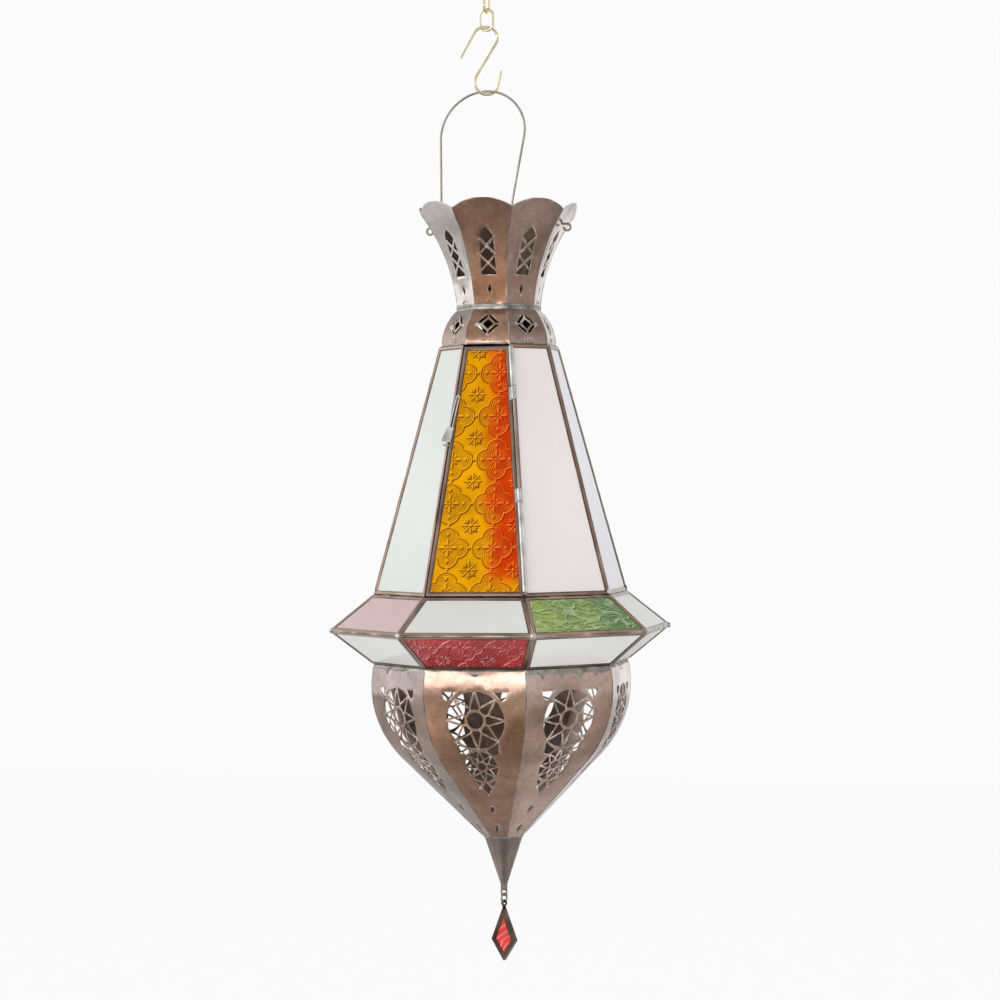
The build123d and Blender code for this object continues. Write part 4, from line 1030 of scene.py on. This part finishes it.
def quatrefoils(x, y):
    """Height share of the quatrefoil lattice: ribbed outline, lined field, leaf cross and flowers."""
    dx, dy = (v - LATTICE * np.round(v / LATTICE) for v in (x, y))
    gap = np.minimum.reduce([np.hypot(dx - LOBE * cx, dy - LOBE * cy) - LOBE for cx, cy in CROSS])
    height = ridge(gap, 0.52) + 0.5 * ridge(gap + 1.5, 0.36)
    height = height + np.clip((-gap - 2.0) / 0.6, 0, 1) * 0.5 * (0.5 + 0.5 * np.cos(2 * pi * gap / 1.4))
    shapes = [height, dome(dx, dy, 1.0)]
    shapes += [leaf(np.abs(a), b, 1.0, 7.2, 1.35) for a, b in ((dx, dy), (dy, dx))]
    for hand in (1, -1):
        shapes.append(leaf(np.abs(dx + hand * dy) / 2 ** 0.5, (dx - hand * dy) / 2 ** 0.5, 1.0, 4.6, 0.9))
    for reach, radius in ((9.4, 1.35), (LATTICE / 2, 1.3)):
        shapes += [dome(dx - reach * cx, dy - reach * cy, radius) for cx, cy in CROSS]
    fx, fy = (v - np.copysign(LATTICE / 2, v) for v in (dx, dy))
    shapes.append(dome(fx, fy, 1.3))
    reach, turn = np.hypot(fx, fy), np.arctan2(fy, fx)
    step = 2 * pi / 8
    for first, last, width, shift in ((1.6, 6.4, 1.0, 0), (3.2, 5.4, 0.55, step / 2)):
        folded = (turn + shift + step / 2) % step - step / 2
        shapes.append(leaf(reach * np.cos(folded), reach * np.sin(folded), first, last, width))
    return np.clip(np.maximum.reduce(shapes), 0, 1.2)


def hammered(x, y, size, seed):
    """Height share of rolled textured glass: overlapping dimples."""
    rough = wavy(x, y, size, seed, lambda place: noise.turbulence(place, 3, False))
    return np.clip((rough - 0.2) / 0.6, 0, 1)


def relief_pane(builder, panel, side, height_of, tone_of, relief, step):
    """A closed pane whose outer face carries a relief, with its tone, slope and height kept per point. The
    smooth back is a ladder of strips between the two sides."""
    foot_left, foot_right, top_right, top_left = panel.front
    rows = int((top_left[1] - foot_left[1]) / step) + 1
    columns = int(max(foot_right[0] - foot_left[0], top_right[0] - top_left[0]) / step) + 1
    v = np.linspace(0, 1, rows)[:, None]
    u = np.linspace(0, 1, columns)[None, :]
    left = foot_left[0] + (top_left[0] - foot_left[0]) * v
    right = foot_right[0] + (top_right[0] - foot_right[0]) * v
    x = left + (right - left) * u
    y = foot_left[1] + (top_left[1] - foot_left[1]) * v + 0 * u
    from_middle = y - (foot_left[1] + top_left[1]) / 2
    rim = np.minimum(np.minimum(x - left, right - x), np.minimum(y - y.min(), y.max() - y))
    height = height_of(x, from_middle, side) * np.clip((rim - 0.6) / 0.9, 0, 1)
    down = np.gradient(height, axis=0) / np.maximum(np.gradient(y, axis=0), 1e-6)
    sideways = np.gradient(height, axis=1) / np.maximum(np.gradient(x, axis=1), 1e-6)
    # Slope toward a light at the upper left, steep ones leaning to the dark: where the material paints its
    # shadow and glint
    slope = np.clip(0.5 + 0.8 * (0.6 * sideways - 0.8 * down) - 0.28 * np.hypot(sideways, down), 0, 1)
    tone = tone_of(x, from_middle, side).ravel()
    x, y = x.ravel(), y.ravel()
    faces, ring = grid(rows, columns)
    count, around = len(x), len(ring)
    points = [panel.place(a, b, -relief * h) for a, b, h in zip(x, y, height.ravel())]
    points += [panel.place(x[i], y[i], panel.depth) for i in ring]
    for n, here in enumerate(ring):
        after = (n + 1) % around
        faces.append((ring[after], here, count + n, count + after))
    right = [columns - 1 + j for j in range(rows)]
    left = [-j % around for j in range(rows)]
    strips = [[*range(columns), right[1], left[1]]]
    strips += [[left[j], right[j], right[j + 1], left[j + 1]] for j in range(1, rows - 2)]
    strips.append([left[-2], right[-2], *range(right[-1], left[-1] + 1)])
    faces += [tuple(count + n for n in reversed(strip)) for strip in strips]
    # The raised attribute carries the relief's height, for the painted highlight on raised tops
    builder.extend(points, faces, tone=[*tone, *tone[ring]], slope=[*slope.ravel(), *[0.5] * around],
                   raised=[*np.clip(height, 0, 1).ravel(), *[0.0] * around])


def glass_piece(node, sides, material, body, slot, *surface):
    """The panes of one CAD node in pressed glass, as relief_pane makes them."""
    cad = CadMesh(node)
    builder = Builder()
    for side in sides:
        relief_pane(builder, Panel(cad, side), side, *surface)
    builder.finish(node + "_relief", [material], body, slot, node, sharp=60)


def door_height(x, y, side):
    return quatrefoils(x - DOOR_PATTERN[0], y - DOOR_PATTERN[1])


def door_tone(x, y, side):
    """Amber on the left and red on the right, amber again at the foot."""
    split = 6.4 - 0.045 * y
    outlines = smooth(0.4, 0.8, door_height(x, y, side))
    red = smooth(-9, 8, x - split + 5 * wavy(x, y, 14, 3.0) + 5 * outlines)
    return red * (1 - 0.8 * smooth(-70, -82, y))


def creases(waves, sharpness):
    """Folds where waves cross zero."""
    return np.clip(1 - np.abs(waves) * sharpness, 0, 1) ** 2


def red_height(x, y, side):
    pressed = quatrefoils(x - RED_PATTERN[0] - side * 7, y - RED_PATTERN[1])
    folds = creases(wavy(x, y, 3.2, 34.0 + side), 3.0)
    return np.clip(0.7 * pressed + 0.35 * hammered(x, y, 4.5, 30.0 + side) + 0.3 * folds, 0, 1.2)


def cloudy_tone(x, y, side):
    return np.clip(0.5 + 0.9 * wavy(x, y, 22, 7.0 + side), 0, 1)


def green_height(x, y, side):
    """Ripples that fold over one another, with finer creases in them."""
    bent_x, bent_y = x + 5 * wavy(x, y, 12, 21.0 + side), y + 4 * wavy(x, y, 10, 27.0 + side)
    folds = creases(wavy(bent_x * 0.7 + bent_y * 0.7, bent_y * 1.5, 7.5, 23.0 + side), 3.0)
    fine = creases(wavy(bent_x * 0.6 + bent_y * 0.8, bent_y * 1.5, 3, 25.0 + side), 2.0)
    return np.clip(0.65 * folds + 0.45 * fine, 0, 1.1)


def green_tone(x, y, side):
    return np.clip(0.55 + 0.014 * x + 0.7 * wavy(x, y, 18, 11.0 + side), 0, 1)


def pink_height(x, y, side):
    return hammered(x, y, 3.2, 40.0 + side)


def ruby_height(x, y):
    """Curved ribs over a dimpled ground."""
    reach = np.hypot(x - 9, y + 14)
    ribs = ridge((reach + 1.2 * wavy(x, y, 6, 51.0)) % 4.2 - 2.1, 0.55)
    return np.clip(0.7 * ribs + 0.6 * hammered(x, y, 4.5, 53.0), 0, 1.1)


def drop_pane():
    """The pendant's kite of glass, in relief on both faces."""
    cad = CadMesh("drop_glass")
    normal = cad.normals[np.argmax(cad.areas)]
    normal = normal * (1 if normal[1] < 0 else -1)
    across = np.cross(UP, normal)
    across /= np.linalg.norm(across)
    up = np.cross(normal, across)
    flat = np.stack([cad.points @ across, cad.points @ up], axis=1)
    depth = cad.points @ normal
    edges = boundary(cad.triangles[cad.facing(normal, 0.9)])
    corners = sorted({i for pair in edges for i in pair})
    edges = [(corners.index(a), corners.index(b)) for a, b in edges]
    places, faces = triangulated(flat[corners], edges, GLASS_STEP)
    fade = np.clip((edge_distance(places, *edge_ends(flat[corners], edges)) - 0.7) / 0.6, 0, 1)
    x, y = places[:, 0], places[:, 1] - places[:, 1].mean()
    height = ruby_height(x, y) * fade
    reach = 0.2
    # Slope toward the upper left, for the painted shadow and glint
    slope = np.clip(0.5 + 0.5 * (ruby_height(x - reach, y + reach) - ruby_height(x + reach, y - reach)), 0, 1)
    sides = ((depth.max(), DROP_RELIEF), (depth.min(), -DROP_RELIEF))
    front, back = ([across * a + up * b + normal * (face + relief * h) for (a, b), h in zip(places, height)]
                   for face, relief in sides)
    front_faces, back_faces, rims, _ = two_skins(faces, front, normal)
    builder = Builder()
    builder.extend(front + back, front_faces + back_faces + rims, tone=[*cloudy_tone(x, y, 2)] * 2,
                   slope=[*slope] * 2, raised=[*height] * 2)
    builder.finish("drop_glass_relief", [RUBY], "drop", "red_glass", "drop_glass", sharp=60)


def build_sheets():
    # Each side takes its own copy of copper, set to how that side looked under the studio light, so besides
    # their tones the copies paint light and shade
    crown = (WARM, RUSSET, PALE, WARM, RUSSET, WARM, PALE, BRIGHT_REFLECTION)
    shoulder = (WARM, BROWN, PALE, WARM, BROWN, WARM, PALE, BROWN)
    bowl = (WARM, MAUVE, PALE, WARM, MAUVE, WARM, PALE, BROWN)
    bowl_bend = (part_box("bowl_gore_0")[1].z - NECK) / MM - BOWL_BEND_DROP
    for side in range(SIDES):
        worked_sheet(f"crown_petal_{side}", "crown", [side], 1.0, crown, SHADED_INSIDE)
        worked_sheet(f"bowl_gore_{side}", "bowl", [side], 31.0, bowl, INSIDE, bowl_bend)
    worked_sheet("shoulder_gores", "shoulder", range(SIDES), 61.0, shoulder, SHADED_INSIDE)


def build_frames():
    for side in range(1, SIDES):
        came_piece(f"side_frame_{side}", "body", [f"side_pane_{side}"], [side], "lantern", 3.0)
    came_piece("door_frame", "door", ["door_pane"], [0], "door", 3.0)
    came_piece("upper_apron_frames", "upper", ["upper_panes_white", "upper_panes_green", "upper_panes_pink"],
               range(SIDES), "lantern", 70.0)
    came_piece("lower_apron_frames", "lower", ["lower_panes_white", "lower_panes_red"],
               range(SIDES), "lantern", 90.0)


def build_trim():
    sheet_seams()
    frame_seams()
    ring_seams()
    corner_blobs()
    bowl_runs()
    small_marks()


def build_glass():
    glass_piece("door_pane", [0], AMBER, "door", "amber_glass", door_height, door_tone, RELIEF, GLASS_STEP)
    glass_piece("lower_panes_red", (0, 4), RED, "lantern", "red_glass", red_height, cloudy_tone, RELIEF,
                GLASS_STEP)
    glass_piece("upper_panes_green", (1, 5), GREEN, "lantern", "green_glass", green_height, green_tone,
                GREEN_RELIEF, GREEN_STEP)
    glass_piece("upper_panes_pink", (3, 7), PINK, "lantern", "pink_glass", pink_height, cloudy_tone,
                PINK_RELIEF, PINK_STEP)
    drop_pane()


def repaint_the_rest():
    """The carried-over CAD nodes in their finished materials."""
    panes = (OPAL_PINK, OPAL_LILAC, OPAL_GREEN, OPAL_PLAIN, OPAL_PINK, OPAL_LILAC, OPAL_GREEN)
    finishes = [(material, [f"side_pane_{side}"]) for side, material in enumerate(panes, 1)]
    finishes += [(OPAL_UPPER, ["upper_panes_white"]), (OPAL_PLAIN, ["lower_panes_white"]),
                 (BRASS, ["chain_link_upper", "chain_link_lower", "s_hook", "latch_pin"]),
                 (IRON, ["bail_handle", "hinge_pin", "latch_stop", "drop_ring"]),
                 (TIN, ["hinge_tubes", "hinge_lugs", "latch_tab", "latch_wire", "candle_cup"]),
                 (DULL, ["spike_cone", "drop_strap"]), (CAME, ["drop_frame"]),
                 (WARM, ["candle_bridge", "drip_dish"]), (SMEAR, ["neck_band"])]
    for material, names in finishes:
        for name in names:
            nodes[name].data.materials.clear()
            nodes[name].data.materials.append(material)


# Stage

def make_camera():
    data = bpy.data.cameras.new("camera")
    data.lens = CAMERA_LENS
    data.sensor_width = 36
    data.shift_x, data.shift_y = CAMERA_SHIFT
    data.clip_start = 0.05
    data.clip_end = 60
    camera = in_scene("camera", data)
    place = Vector((AXIS.x, AXIS.y, NECK - CAMERA_BELOW_NECK)) + CAMERA_DISTANCE * Vector(FRONT)
    aim = Matrix.Rotation(radians(CAMERA_AZIMUTH), 4, "Z") @ Matrix.Rotation(pi / 2, 4, "X")
    camera.matrix_world = Matrix.Translation(place) @ aim @ Matrix.Rotation(radians(CAMERA_ROLL), 4, "Z")
    bpy.context.scene.camera = camera


def room(tree, place, scale):
    """What metal mirrors of the room, in soft lights and darks."""
    return ramp(tree, speckle(tree, place, scale, 2, 0.5), (0.36, (0.66, 0.65, 0.64)), (0.64, 1.2))


def seen(tree, path):
    """1 for what the camera sees, itself or through glass."""
    return calc(tree, "MAXIMUM", path.outputs["Is Camera Ray"], path.outputs["Is Transmission Ray"])


def make_world():
    """A white tent: the camera sees white, and metal reflects a bright back and sides and a dim front."""
    world = bpy.data.worlds.new("studio")
    bpy.context.scene.world = world
    world.use_nodes = True
    tree = world.node_tree
    direction = add(tree, "ShaderNodeTexCoord").outputs["Generated"]
    around = ramp(tree, level(tree, along(tree, direction, FRONT), -1, 1), (0.0, 1.0), (0.42, 1.0),
                  (0.70, (0.84, 0.83, 0.82)), (0.90, (0.62, 0.61, 0.60)), (1.0, (0.66, 0.65, 0.64)))
    side_light = ramp(tree, along(tree, direction, LEFT), (0.35, 0.0), (0.9, (0.6, 0.6, 0.62)))
    mirrored = multiplied(tree, mix(tree, 1.0, around, side_light, "ADD"), room(tree, direction, 2.6))
    path = add(tree, "ShaderNodeLightPath")
    colour = mix(tree, path.outputs["Is Glossy Ray"], AMBIENT, mirrored)
    colour = mix(tree, seen(tree, path), colour, BACKDROP)
    tree.links.new(colour, tree.nodes["Background"].inputs["Color"])


def make_lamp(name, azimuth, elevation, distance, size, power, shows):
    """A soft square lamp aimed at the lantern's middle. Azimuth 0 is the door's side."""
    data = bpy.data.lights.new(name, "AREA")
    data.shape = "RECTANGLE"
    data.size, data.size_y = size
    data.energy = power
    lamp = in_scene(name, data)
    a, e = radians(azimuth), radians(elevation)
    back = Vector((sin(a) * cos(e), -cos(a) * cos(e), sin(e)))
    lamp.location = Vector((AXIS.x, AXIS.y, NECK - AIM_BELOW_NECK)) + back * distance
    lamp.rotation_mode = "QUATERNION"
    lamp.rotation_quaternion = (-back).to_track_quat("-Z", "Y")
    lamp.visible_glossy = shows


def make_stage():
    """A pale floor far below the lantern, white to the camera but for the soft shadow."""
    mesh = bpy.data.meshes.new("floor")
    signs = ((-1, -1), (1, -1), (1, 1), (-1, 1))
    corners = [(x * FLOOR_HALF, y * FLOOR_HALF, cad_low.z - FLOOR_DROP) for x, y in signs]
    mesh.from_pydata(corners, [], [(0, 1, 2, 3)])
    floor = in_scene("floor", mesh)
    material, tree, shader, place = new_material("floor")
    colour = ramp(tree, speckle(tree, place, 30, 4, 0.6), (0.3, 0.79), (0.7, 0.81))
    path = add(tree, "ShaderNodeLightPath")
    ahead = along(tree, place, FRONT)
    dim = level(tree, calc(tree, "ABSOLUTE", along(tree, place, LEFT)), 0.35, 0.85, 1, 0)
    for first, last in ((-0.5, 0.0), (3.4, 2.2)):
        dim = calc(tree, "MULTIPLY", dim, level(tree, ahead, first, last))
    mirrored = multiplied(tree, mix(tree, dim, 0.86, (0.40, 0.39, 0.38)), room(tree, place, 1.1))
    colour = mix(tree, path.outputs["Is Glossy Ray"], colour, mirrored)
    glow = level(tree, seen(tree, path), 0, 1, 0, FLOOR_GLOW)
    connect(tree, shader, {"Base Color": colour, "Roughness": 0.9, "Specular IOR Level": 0.0,
                           "Emission Color": (1, 1, 1, 1), "Emission Strength": glow})
    mesh.materials.append(material)


bpy.context.scene.view_settings.view_transform = "Standard"
make_camera()
build_sheets()
build_frames()
build_trim()
build_glass()
repaint_the_rest()
make_world()
make_stage()
for name, settings in LAMPS.items():
    make_lamp(name, *settings)
